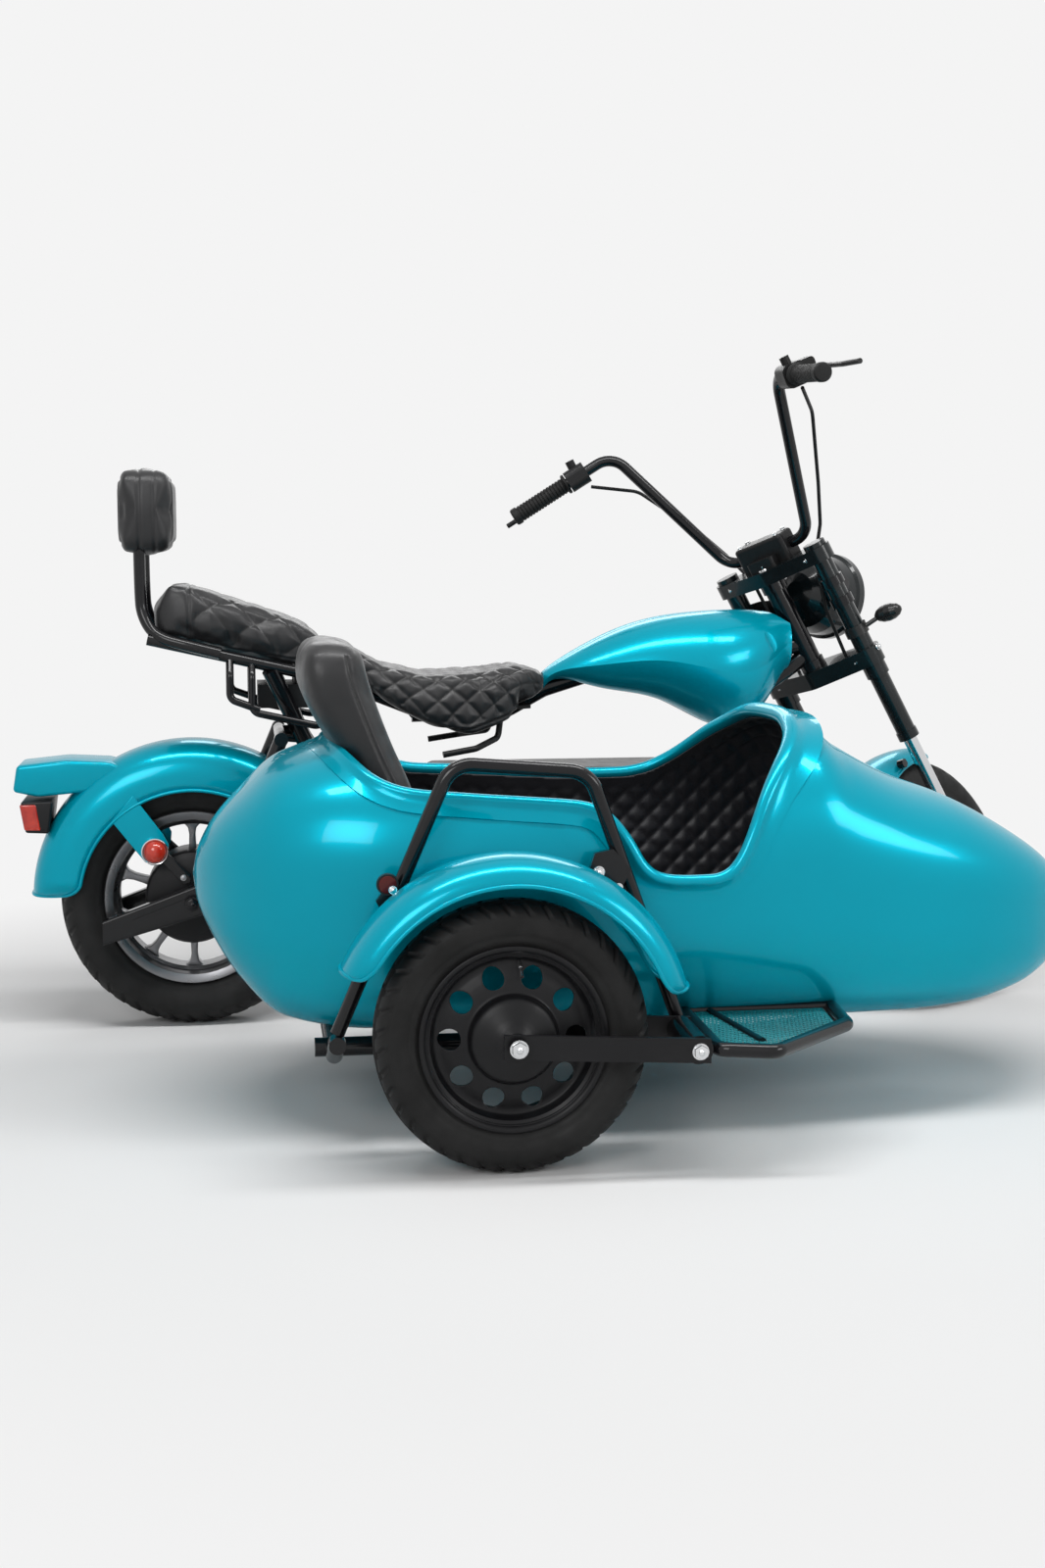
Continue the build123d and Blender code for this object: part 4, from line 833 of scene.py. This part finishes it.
# each gives depth and thread at a point in millimetres with normal n
def riderSewn(p, n):
    x, _, z = p
    hem = 566 + max(0, x - 520) * 0.32 + max(0, 440 - x) * 0.62
    inside = smoothStep(x, 292, 306) * smoothStep(664 - x, 0, 10) * smoothStep(z, hem + 5, hem + 12)
    inside *= smoothStep(n.z, -0.6, -0.3)
    depth, seam = quilt(x, girth(p), (54, 50), 4.6, inside, 0.05)
    depth += sewnLine(z - hem, 3.0, 2.8) * smoothStep(0.6 - n.z, 0, 0.2)
    return depth, seam


def pillionSewn(p, n):
    x, _, z = p
    hem = 730 - max(0, x) * 0.16
    inside = smoothStep(x, 6, 16) * smoothStep(z, hem, hem + 8) * smoothStep(246 - x, 0, 8)
    depth, seam = quilt(x, girth(p), (84, 92), 4.6, inside, 0.035)
    rear = sewnLine(x - 4, 2.8, 2.4)
    depth += (sewnLine(z - hem, 3.0, 2.4) + rear) * smoothStep(0.9 - abs(n.z), 0, 0.3)
    depth += rear * smoothStep(n.z, 0.5, 0.8)
    return depth, seam


def backrestSewn(p, n):
    x, y, z = p
    front = smoothStep(abs(n.x), 0.5, 0.8)
    border = min(98 - abs(y), 58 - abs(z - 970))
    sides = (sewnLine(x + 54, 2.4, 2.2) + sewnLine(x + 82, 2.6, 2.6)) * smoothStep(0.5 - abs(n.x), 0, 0.3)
    return sewnLine(border, 3.0, 2.2) * front + sides, 1.0 if abs(border) < 1.1 and front > 0.5 else 0.0


def seatBackSewn(p, n):
    x, y, z = p
    inset, edge = 150 - abs(y - backForm["centre"]), x - backFormAt(z)[1] + 22
    face, side = smoothStep(n.x, 0.2, 0.5), smoothStep(abs(n.y), 0.6, 0.85)
    seam = 1.0 if (abs(inset) < 1.2 and face > 0.5) or (abs(edge) < 1.2 and side > 0.5) else 0.0
    return sewnLine(inset, 3.0, 2.6) * face + sewnLine(edge, 2.6, 2.6) * side, seam


def cushionSewn(p, n):
    x, y, z = p
    y -= hull["centre"]
    top = smoothStep(n.z, 0.5, 0.8)
    border = min(146 - abs(y), x - 378, 664 - x)
    depth, seam = quilt(x, y, (60, 66), 5.5, top * smoothStep(border, 0, 8), 0.035)
    depth += sewnLine(border, 3.0, 3.0) * top
    depth += (sewnLine(z - 292, 2.4, 2.0) + sewnLine(z - 236, 2.4, 2.0)) * smoothStep(0.4 - abs(n.z), 0, 0.2)
    return depth, seam


pads = {
    "riderSaddle": {"node": "rider_seat", "voxel": 0.005, "relax": 9, "cap": 0.007,
                    "fill": 0.75, "sewn": riderSewn},
    "pillionSaddle": {"node": "pillion_seat", "voxel": 0.005, "relax": 9, "cap": 0.006,
                      "fill": 0.75, "sewn": pillionSewn},
    "backrestCushion": {"node": "backrest_pad", "voxel": 0.004, "relax": 6, "cap": 0.005,
                        "fill": 0.8, "sewn": backrestSewn, "deepen": 1.52},
    "sidecarBackrest": {"node": "sidecar_seat_back", "voxel": 0.006, "relax": 10, "cap": 0.006,
                        "fill": 0.8, "sewn": seatBackSewn},
    "sidecarSquab": {"node": "sidecar_cushion", "voxel": 0.006, "relax": 9, "cap": 0.007,
                     "fill": 0.7, "sewn": cushionSewn},
}


def sewPad(pad, s):
    # one subdivision, then diamonds, seams and piping grooves by moving points along their normals
    mesh = pad.data
    bm = bmesh.new()
    bm.from_mesh(mesh)
    bmesh.ops.subdivide_edges(bm, edges=bm.edges, cuts=1, use_grid_fill=True, smooth=0.0)
    relax(bm, 2)
    bm.normal_update()
    seamLayer = bm.verts.layers.float.new("seam")
    crest.clear()
    for v in bm.verts:
        row = round((v.co.x - rearAxleX) * 100)
        crest[row] = max(crest.get(row, 0), v.co.z * 1000)
    moves = []
    for v in bm.verts:
        p = ((v.co.x - rearAxleX) * 1000, (v.co.y - bikeY) * 1000, v.co.z * 1000)
        depth, v[seamLayer] = s["sewn"](p, v.normal)
        moves.append(depth)
    for v, depth in zip(bm.verts, moves):
        v.co -= v.normal * (depth / 1000)
    bm.to_mesh(mesh)
    bm.free()
    dressPiece(pad, "seatLeather", "root", "leather", [s["node"]])


for name, s in pads.items():
    sewPad(padMesh(name, s), s)
print("soft goods: five padded pieces sewn")


# fasteners
def addPart(bm, create, matrix, **sizes):
    # what an operator creates, moved by matrix; gives its corners
    verts = create(bm, **sizes)["verts"]
    bmesh.ops.transform(bm, matrix=matrix, verts=verts)
    return verts


def standing(place, direction):
    return Matrix.Translation(place) @ aimed(direction).to_matrix().to_4x4()


def addBolt(bm, place, direction, size):
    # washer, hexagon head with a chamfer and a domed stud end, standing out along direction
    turn = standing(place, direction)
    cone, ball = bmesh.ops.create_cone, bmesh.ops.create_uvsphere
    addPart(bm, cone, turn @ Matrix.Translation((0, 0, size * 0.08)), cap_ends=True, segments=28,
            radius1=size * 1.18, radius2=size * 1.12, depth=size * 0.16)
    head = addPart(bm, cone, turn @ Matrix.Translation((0, 0, size * 0.45)), cap_ends=True, segments=6,
                   radius1=size, radius2=size, depth=size * 0.62)
    softenEdges(bm, edgesOf(head), size * 0.09, 2)
    addPart(bm, ball, turn @ Matrix.Translation((0, 0, size * 0.72)) @ Matrix.Diagonal((1, 1, 0.7, 1)),
            u_segments=16, v_segments=10, radius=size * 0.42)


def boltGroup(name, rows, finish, body, slotName="chrome"):
    bm = bmesh.new()
    for place, direction, size in rows:
        addBolt(bm, place, direction, size / 1000)
    finishPiece(bm, name, finish, body, slotName, 35)


boltGroup("sidecarArmBolts", [
    (at(477, -1103.0, 202), right, 12), (at(742, -1093.4, 187), right, 11), (at(618, -948.2, 428), right, 8),
    (at(309, -974.6, 413), right, 5.5), (at(648, -948.2, 404), right, 6),
    (at(477, -948.6, 202), left, 11), (at(742, -948.6, 187), left, 11),
], "brightChrome", "root")
boltGroup("rearAxleNuts", [(at(x, y * side, z), way, size) for x, y, z, size in
                           ((0, 126.2, 247, 12), (330, 120.2, 368, 11)) for side, way in sides],
          "frameBlack", "root", "frame_black")
boltGroup("stayBolts", [(at(-16, 92.4 * side, 292), way, 5) for side, way in sides], "satinSteel", "root")
boltGroup("yokeBolts", [(onFork(-2, w, q), -forkAhead, 6) for w in (-92, 92) for q in (169, -54)]
          + [(onFork(p, w, 235.6), forkUp, 5.5) for p in (18, 50) for w in (-44, 44)]
          + [(onFork(25, side * 136.4, -44), forkLeft * side, 6) for side, _ in sides]
          + [(onFork(0, 0, 183.3), forkUp, 13)], "brightChrome", "fork")
print("fasteners: bolts and nuts")


# sidecar wheel disc
disc = {
    "holes": 10, "ring": 93.0, "hole": (16.5, 16.0), "around": 300, "step": 2.0, "wall": 0.0032,
    # along the axle (negative is outboard) and radius: rim flange, dish with the holes, raised cap
    "face": [(-36.6, 138), (-36.6, 133), (-33.5, 129), (-30, 127), (-27, 121.5), (-20, 119), (-14.5, 115.5),
             (-13.0, 111), (-14.0, 106), (-17, 99), (-20, 92), (-22.5, 84), (-24.5, 76), (-26.0, 69),
             (-27.4, 66.6), (-31.0, 65.2), (-36.0, 64.2), (-40.4, 62.2), (-43.6, 58.6), (-46.6, 52.5), (-50.2, 44),
             (-54.0, 35), (-58.0, 27), (-62.0, 21.5), (-65.2, 17), (-66.0, 12)],
    "well": [(-36.6, 138), (-36.2, 134), (-31.6, 127.4), (-14.5, 123.7), (-11, 114.7), (11, 114.7), (14.5, 123.7),
             (31.6, 127.4), (36.2, 134), (36.6, 138), (31.4, 138), (31.2, 126.7), (14, 123), (11, 112.5),
             (-11, 112.5), (-14, 123), (-31.2, 126.7), (-31.4, 138)],
    "tube": [(-69.6, 0), (-70.4, 9), (-69.4, 15), (-66, 17.4), (-48, 17.6), (-46, 20), (40, 20), (44, 26), (54, 26),
             (56.4, 20), (56.4, 0)],
    # valve: foot from the hub, lean, and radius, start and length of each turned part
    "valve": {"foot": (0.010, -0.016, 0.112), "lean": (0.05, -0.75, -0.66),
              "parts": [(3.4, 0.0, 12), (2.4, 10, 12), (3.3, 20, 9)]},
}


def makeWheelDisc(s):
    rows = s["face"]
    fine = []      # the section again in short steps, so that the holes get round edges
    for (a0, r0), (a1, r1) in zip(rows, rows[1:]):
        cuts = max(1, int(math.hypot(a1 - a0, r1 - r0) / s["step"]))
        fine += [(a0 + (a1 - a0) * i / cuts, r0 + (r1 - r0) * i / cuts) for i in range(cuts)]
    fine.append(rows[-1])

    def place(u, v):
        along, radius = fine[round(v * (len(fine) - 1))]
        angle = 2 * math.pi * u
        return sidecarHub + (left * along + (upright * math.cos(angle) + forward * math.sin(angle)) * radius) / 1000

    def holeLevel(p):
        q = p - sidecarHub
        radius = math.hypot(q.x, q.z) * 1000
        turn = math.degrees(math.atan2(q.x, q.z)) % (360 / s["holes"]) - 180 / s["holes"]
        sideways = math.radians(turn) * radius
        return (1 - math.hypot(sideways / s["hole"][1], (radius - s["ring"]) / s["hole"][0])) * 10

    bm = gridSheet(s["around"], len(fine) - 1, place, closed=True)
    cutAlong(bm, holeLevel)
    weld(bm, 0.0002)
    faceOut(bm, right, right)
    addWall(finishPiece(bm, "sidecarWheelDisc", "wheelBlack", "sidecar_wheel", "wheel_black"), s["wall"])

    bm = bmesh.new()
    spinSection(bm, sidecarHub, left, s["well"], 120, upright, ring=True)
    spinSection(bm, sidecarHub, left, s["tube"], 72, upright)
    mergeClose(bm)
    finishPiece(bm, "sidecarRimWell", "wheelBlack", "sidecar_wheel", "wheel_black", 35, ["sidecar_rim"])

    bm = bmesh.new()
    foot, lean = sidecarHub + Vector(s["valve"]["foot"]), Vector(s["valve"]["lean"])
    for size, start, tall in s["valve"]["parts"]:
        middle = foot + lean.normalized() * (start + tall / 2) / 1000
        addPart(bm, bmesh.ops.create_cone, standing(middle, lean), cap_ends=True, segments=20,
                radius1=size / 1000, radius2=size * 0.92 / 1000, depth=tall / 1000)
    finishPiece(bm, "tyreValve", "brightChrome", "sidecar_wheel", "chrome", 35)


makeWheelDisc(disc)
print("wheels: pressed sidecar disc with ten openings")


# mudguards, wheels, lamps and tubes
def rolledEdge(name, points, radius, finish, body, slotName, cyclic=False, replaced=(), around=12):
    # a round bead or tube along a path
    count = len(points)
    rings = count if cyclic else count - 1
    tangents = [(points[(i + 1) % count if cyclic else min(i + 1, rings)]
                 - points[i - 1 if cyclic else max(i - 1, 0)]).normalized() for i in range(count)]
    frames = []
    side = tangents[0].orthogonal().normalized()
    for t in tangents:
        side = (side - t * side.dot(t)).normalized()
        frames.append((side, t.cross(side)))

    def place(u, v):
        i = round(v * rings) % count
        a = 2 * math.pi * (round(u * around) % around) / around
        first, second = frames[i]
        return points[i] + (first * math.cos(a) + second * math.sin(a)) * radius

    bm = gridSheet(around, rings, place, closed=True)
    if not cyclic:
        bmesh.ops.holes_fill(bm, edges=[e for e in bm.edges if e.is_boundary], sides=0)
        evenNormals(bm)
    finishPiece(bm, name, finish, body, slotName, 50, replaced)


def smoothPath(points, rounds):
    # corners cut again and again, ends kept
    for _ in range(rounds):
        cut = [points[0]]
        for a, b in zip(points, points[1:]):
            cut += [a.lerp(b, 0.25), a.lerp(b, 0.75)]
        points = cut + [points[-1]]
    return points


mudguards = {
    # from and to in degrees from straight ahead, sizes in millimetres
    "sidecarMudguard": {"hub": sidecarHub, "ahead": forward, "up": upright, "from": 15, "to": 157, "half": 66,
                        "crown": 269, "edge": 230, "power": 2.2, "round": 46, "body": "root",
                        "node": "sidecar_fender"},
    "rearMudguard": {"hub": rearHub, "ahead": forward, "up": upright, "from": 40, "to": 178, "half": 86,
                     "crown": 298, "edge": 208, "power": 3.0, "round": 40, "body": "root", "node": "rear_fender"},
    "frontMudguard": {"hub": frontHub, "ahead": forkAhead, "up": forkUp, "from": 60, "to": 190, "half": 62,
                      "crown": 266, "edge": 232, "power": 2.2, "round": 42, "body": "fork", "node": "front_fender"},
}
mudguardSheet = {"across": 56, "along": 170, "wall": 0.0030, "bead": 0.0034, "beadPoints": 420}


def makeMudguard(name, s, sheet):
    axle = s["up"].cross(s["ahead"])
    length = math.radians(s["to"] - s["from"]) * s["crown"]

    def place(u, v):
        toEnd = min(v, 1 - v) * length
        full = 1.0      # below 1 where an end rounds off
        if toEnd < s["round"]:
            full = math.sqrt(max(0.0, 1 - (1 - toEnd / s["round"]) ** 2))
        slope = (u - 0.5) * math.pi
        c, w = math.cos(slope), math.sin(slope)
        wide = s["half"] * math.copysign(abs(w) ** (2 / s["power"]), w) * (0.62 + 0.38 * full)
        arch = (1 - abs(c) ** (2 / s["power"])) * (0.45 + 0.55 * full)
        radius = s["edge"] + (s["crown"] - s["edge"]) * (1 - arch)
        angle = math.radians(s["from"] + (s["to"] - s["from"]) * v)
        return s["hub"] + (axle * wide + (s["ahead"] * math.cos(angle) + s["up"] * math.sin(angle)) * radius) / 1000

    bm = gridSheet(sheet["across"], sheet["along"], place)
    middle = place(0.5, 0.5) - s["hub"]
    faceOut(bm, middle, middle)
    piece = finishPiece(bm, name, "tealPaint", s["body"], "teal_paint", 60, [s["node"]])
    addWall(piece, sheet["wall"])
    loop = [place(0.0, k / 140) for k in range(140)] + [place(k / 40, 1.0) for k in range(40)]
    loop += [place(1.0, 1 - k / 140) for k in range(140)] + [place(1 - k / 40, 0.0) for k in range(40)]
    rolledEdge(name + "Bead", evenLoop(loop, sheet["beadPoints"], 2), sheet["bead"], "tealPaint", s["body"],
               "teal_paint", cyclic=True)


for name, s in mudguards.items():
    makeMudguard(name, s, mudguardSheet)

plates = {
    # outlines ahead of the axle and above the floor, their right faces, thickness and rounding of the edges
    "tailBox": {"outline": [(-190, 452), (-120, 496), (-150, 508), (-230, 512), (-318, 503), (-326, 454),
                            (-280, 444)],
                "from": [-62], "thick": 124, "soften": 7, "finish": "tealPaint", "slot": "teal_paint"},
    "tailLampHousing": {"outline": [(-262, 376), (-304, 378), (-312, 436), (-254, 436)], "from": [-68],
                        "thick": 136, "soften": 4, "finish": "caseBlack", "slot": "case_black"},
    "tailLampLens": {"outline": [(-276, 382), (-306, 383), (-314, 431), (-284, 431)], "from": [-69.6],
                     "thick": 139.2, "soften": 3, "finish": "stayRed", "slot": "red_lens", "nodes": ["tail_lamp"]},
    "mudguardStays": {"outline": [(-146, 400), (-106, 448), (-52, 374), (-42, 354), (-44, 334), (-56, 320),
                                  (-72, 316), (-86, 322)],
                      "from": [-88.5, 84.5], "thick": 4, "soften": 1.4, "finish": "tealPaint",
                      "slot": "teal_paint"},
    "stayArms": {"outline": [(-62, 330), (-48, 342), (-2, 298), (-2, 282), (-16, 278)], "from": [-91.5, 87.5],
                 "thick": 4, "soften": 1.2, "finish": "frameBlack", "slot": "frame_black"},
}


def makePlate(name, s):
    bm = bmesh.new()
    for y in s["from"]:
        raiseOutline(bm, [at(x, y, z) for x, z in s["outline"]], left * (s["thick"] / 1000))
    evenNormals(bm)
    softenEdges(bm, bm.edges[:], s["soften"] / 1000, 4)
    finishPiece(bm, name, s["finish"], "root", s["slot"], 40, s.get("nodes", ()))


for name, s in plates.items():
    makePlate(name, s)


def turnedPiece(name, places, section, finish, body, slotName, replaced=(), ring=False, steps=64):
    # the same section spun round each of the (centre, axis) places
    bm = bmesh.new()
    for centre, axis in places:
        spinSection(bm, centre, axis, section, steps, ring=ring)
    mergeClose(bm)
    finishPiece(bm, name, finish, body, slotName, 35, replaced)


lampParts = {
    "dome": [(0, 21), (8, 21), (16, 19.5), (21, 16), (24.5, 10), (26, 4), (26.2, 0)],
    "ring": [(-6, 23.5), (6, 25), (12, 25), (13.5, 23.5), (12.5, 21.2), (-6, 21.2)],
    "markerCup": [(0, 0), (0, 11), (4, 14), (13, 16.5), (19.5, 15.5), (19.5, 0)],
    "markerLens": [(19, 13.4), (20.4, 12.4), (21.6, 8), (22.0, 4), (22.2, 0)],
    # bright bowl and bulb cap inside the headlamp glass
    "bowl": [(70.8, 75), (69.2, 68), (68.2, 56), (67.5, 42), (67.1, 28), (66.9, 13), (72, 12), (77, 9), (79, 5),
             (79.4, 0)],
}
stayPlaces = [(at(-67, 91 * side, 343), way) for side, way in sides]
markerPlaces = [(at(302, -952, 420), right)]
lampAxis = forkAhead * math.cos(rake) - forkUp * math.sin(rake)
turnedPiece("stayLenses", stayPlaces, lampParts["dome"], "stayRed", "root", "red_lens", ["side_lamps"])
turnedPiece("stayLampRings", stayPlaces, lampParts["ring"], "brightChrome", "root", "chrome", ring=True)
turnedPiece("markerLampCup", markerPlaces, lampParts["markerCup"], "caseBlack", "root", "case_black")
turnedPiece("markerLampLens", markerPlaces, lampParts["markerLens"], "redLens", "root", "red_lens")

castWheel = {
    "lip": 165.0, "bead": 153.0, "spokes": 10, "soften": 0.0018,
    "rows": [
        # hub, axle, upward, flange and spoke's inner radius, half thickness, body and node
        ("rearCastRim", rearHub, left, upright, 52.0, 80.0, 15.0, "rear_wheel", "rear_rim"),
        ("frontCastRim", frontHub, forkLeft, forkUp, 43.2, 34.0, 13.0, "front_wheel", "front_rim"),
    ],
    # share of its reach and half width of a spoke, inner end first
    "spoke": [(0.0, 8.5), (0.3, 6.4), (0.62, 5.8), (0.84, 8.0), (0.95, 14.0), (1.0, 20.0)],
    "hubs": {
        "rear_wheel": [(-72, 0), (-72, 14), (-70, 26), (-54, 27), (-52, 74), (-47, 85), (-40, 89), (40, 89),
                       (47, 85), (52, 74), (54, 27), (70, 26), (72, 14), (72, 0)],
        "front_wheel": [(-58, 0), (-58, 22), (-34, 24), (-30, 36), (30, 36), (34, 24), (58, 22), (58, 0)],
    },
}


def makeCastWheel(s):
    lip, bead = s["lip"], s["bead"]
    for name, hub, axle, up, flange, inner, thick, body, node in s["rows"]:
        foot = flange - 4.4
        # left half of the tyre's seat, from the flange to the well, then of the inner side back out
        seat = [(flange, lip), (flange - 0.4, lip - 4.5), (foot, bead + 0.4), (foot * 0.52, bead - 4),
                (foot * 0.42, bead - 12)]
        inside = [(flange + 1.4, lip - 1.5), (flange + 1.0, lip - 6), (foot + 1.2, bead - 4.5),
                  (foot * 0.6, bead - 9.5), (foot * 0.5, bead - 15.5)]
        section = seat + [(-a, r) for a, r in reversed(seat)] + [(-a, r) for a, r in inside] + inside[::-1]
        bm = bmesh.new()
        spinSection(bm, hub, axle, section, 120, ring=True)
        reach = bead - 15 - inner
        edge = [(inner + reach * t, w) for t, w in s["spoke"]]
        for k in range(s["spokes"]):
            out = Matrix.Rotation(2 * math.pi * k / s["spokes"], 3, axle) @ up
            beside = axle.cross(out)
            corners = [hub + (out * r + beside * w - axle * thick) / 1000
                       for r, w in edge + [(r, -w) for r, w in reversed(edge)]]
            softenEdges(bm, raiseOutline(bm, corners, axle * (2 * thick / 1000)), s["soften"], 3)
        mergeClose(bm)
        finishPiece(bm, name, "rimSilver", body, "rim_grey", 32, [node])
        turnedPiece(name + "Hub", [(hub, axle)], s["hubs"][body], "wheelBlack", body, "rim_grey", steps=96)


makeCastWheel(castWheel)

tubes = {
    "back": [(-84, 96, 1000), (-84, 96, 812), (-80, 99, 782), (-66, 108, 754), (-44, 118, 739), (-12, 126, 730),
             (60, 130.3, 712)],
    "bar": [(812, -852, 187), (828, -948, 187), (845, -1050, 187)],
}
for side, word in ((-1, "Right"), (1, "Left")):
    path = smoothPath([at(x, y * side, z) for x, y, z in tubes["back"]], 3)
    rolledEdge("backrestTube" + word, path, 0.011, "frameBlack", "root", "frame_black",
               replaced=["backrest_bar"] if word == "Right" else ())
    ear = smoothPath([onFork(25, side * w, -285) for w in (60, 74)], 1)
    rolledEdge("mudguardMount" + word, ear, 0.009, "frameBlack", "fork", "frame_black")
bar = smoothPath([at(*p) for p in tubes["bar"]], 1)
rolledEdge("footboardBar", bar, 0.0065, "frameBlack", "root", "frame_black")
turnedPiece("headlampBowl", [(onFork(92, 0, 92), lampAxis)], lampParts["bowl"], "brightChrome", "fork", "chrome")
print("mudguards, cast wheels, lamps and backrest tubes")


# footboard grille
board = {"z": 187.0, "outline": [(774, -856), (774, -1064), (846, -1084), (983, -951), (992, -856)],
         "middle": (880, -965), "inside": (890, -950), "half": 0.21, "rows": (38, 61), "turn": 45, "wire": 0.0024}


def makeGrille(s):
    bm = bmesh.new()
    bmesh.ops.create_grid(bm, x_segments=s["rows"][0], y_segments=s["rows"][1], size=s["half"])
    turn = Matrix.Translation(at(*s["middle"], s["z"])) @ Matrix.Rotation(math.radians(s["turn"]), 4, "Z")
    bmesh.ops.transform(bm, matrix=turn, verts=bm.verts)
    ring = [at(x, y, s["z"]) for x, y in s["outline"]]
    for a, b in zip(ring, ring[1:] + ring[:1]):
        normal = (b - a).cross(upright).normalized()
        if normal.dot(at(*s["inside"], s["z"]) - a) > 0:
            normal = -normal
        bmesh.ops.bisect_plane(bm, geom=bm.verts[:] + bm.edges[:] + bm.faces[:], plane_co=a, plane_no=normal,
                               clear_outer=True)
    bmesh.ops.wireframe(bm, faces=bm.faces, thickness=s["wire"], use_replace=True, use_even_offset=True,
                        use_boundary=True)
    evenNormals(bm)
    finishPiece(bm, "footboardGrille", "meshTeal", "root", "mesh_teal", 30, ["footboard_mesh"])


makeGrille(board)
print("sidecar: footboard grille")


# grips
grip = {"inner": (-61.0, 290.7, 502.8), "end": (-139.0, 386.0, 492.0), "ribs": 15, "radius": 16.2, "flange": 21.0,
        "cap": 17.6}


def makeGrips(s):
    bm = bmesh.new()
    radius, flange, cap = s["radius"], s["flange"], s["cap"]
    for side, _ in sides:
        inner, end = [onFork(p, side * w, q) for p, w, q in (s["inner"], s["end"])]
        length = (end - inner).length * 1000
        step = (length - 20) / s["ribs"]
        # collar, ribs and end cap, along the bar and radius
        rows = [(0.0, 11.6), (0.0, flange - 1.5), (1.2, flange), (4.6, flange), (6.2, flange - 2),
                (7.2, radius - 0.5)]
        for k in range(s["ribs"]):
            rows += [(9 + (k + t) * step, radius - low) for t, low in ((0, 1.5), (0.22, 0), (0.74, 0), (0.92, 1.5))]
        rows += [(length - 9.6, radius - 1.0), (length - 8.8, cap), (length + 1.4, cap), (length + 4.4, cap - 2.6),
                 (length + 5.0, 6), (length + 5.0, 0)]
        spinSection(bm, inner, (end - inner).normalized(), rows, 40)
    mergeClose(bm)
    finishPiece(bm, "ribbedGrips", "gripRubber", "fork", "grip_rubber", 40, ["grips"])


makeGrips(grip)
print("steering: ribbed grips")
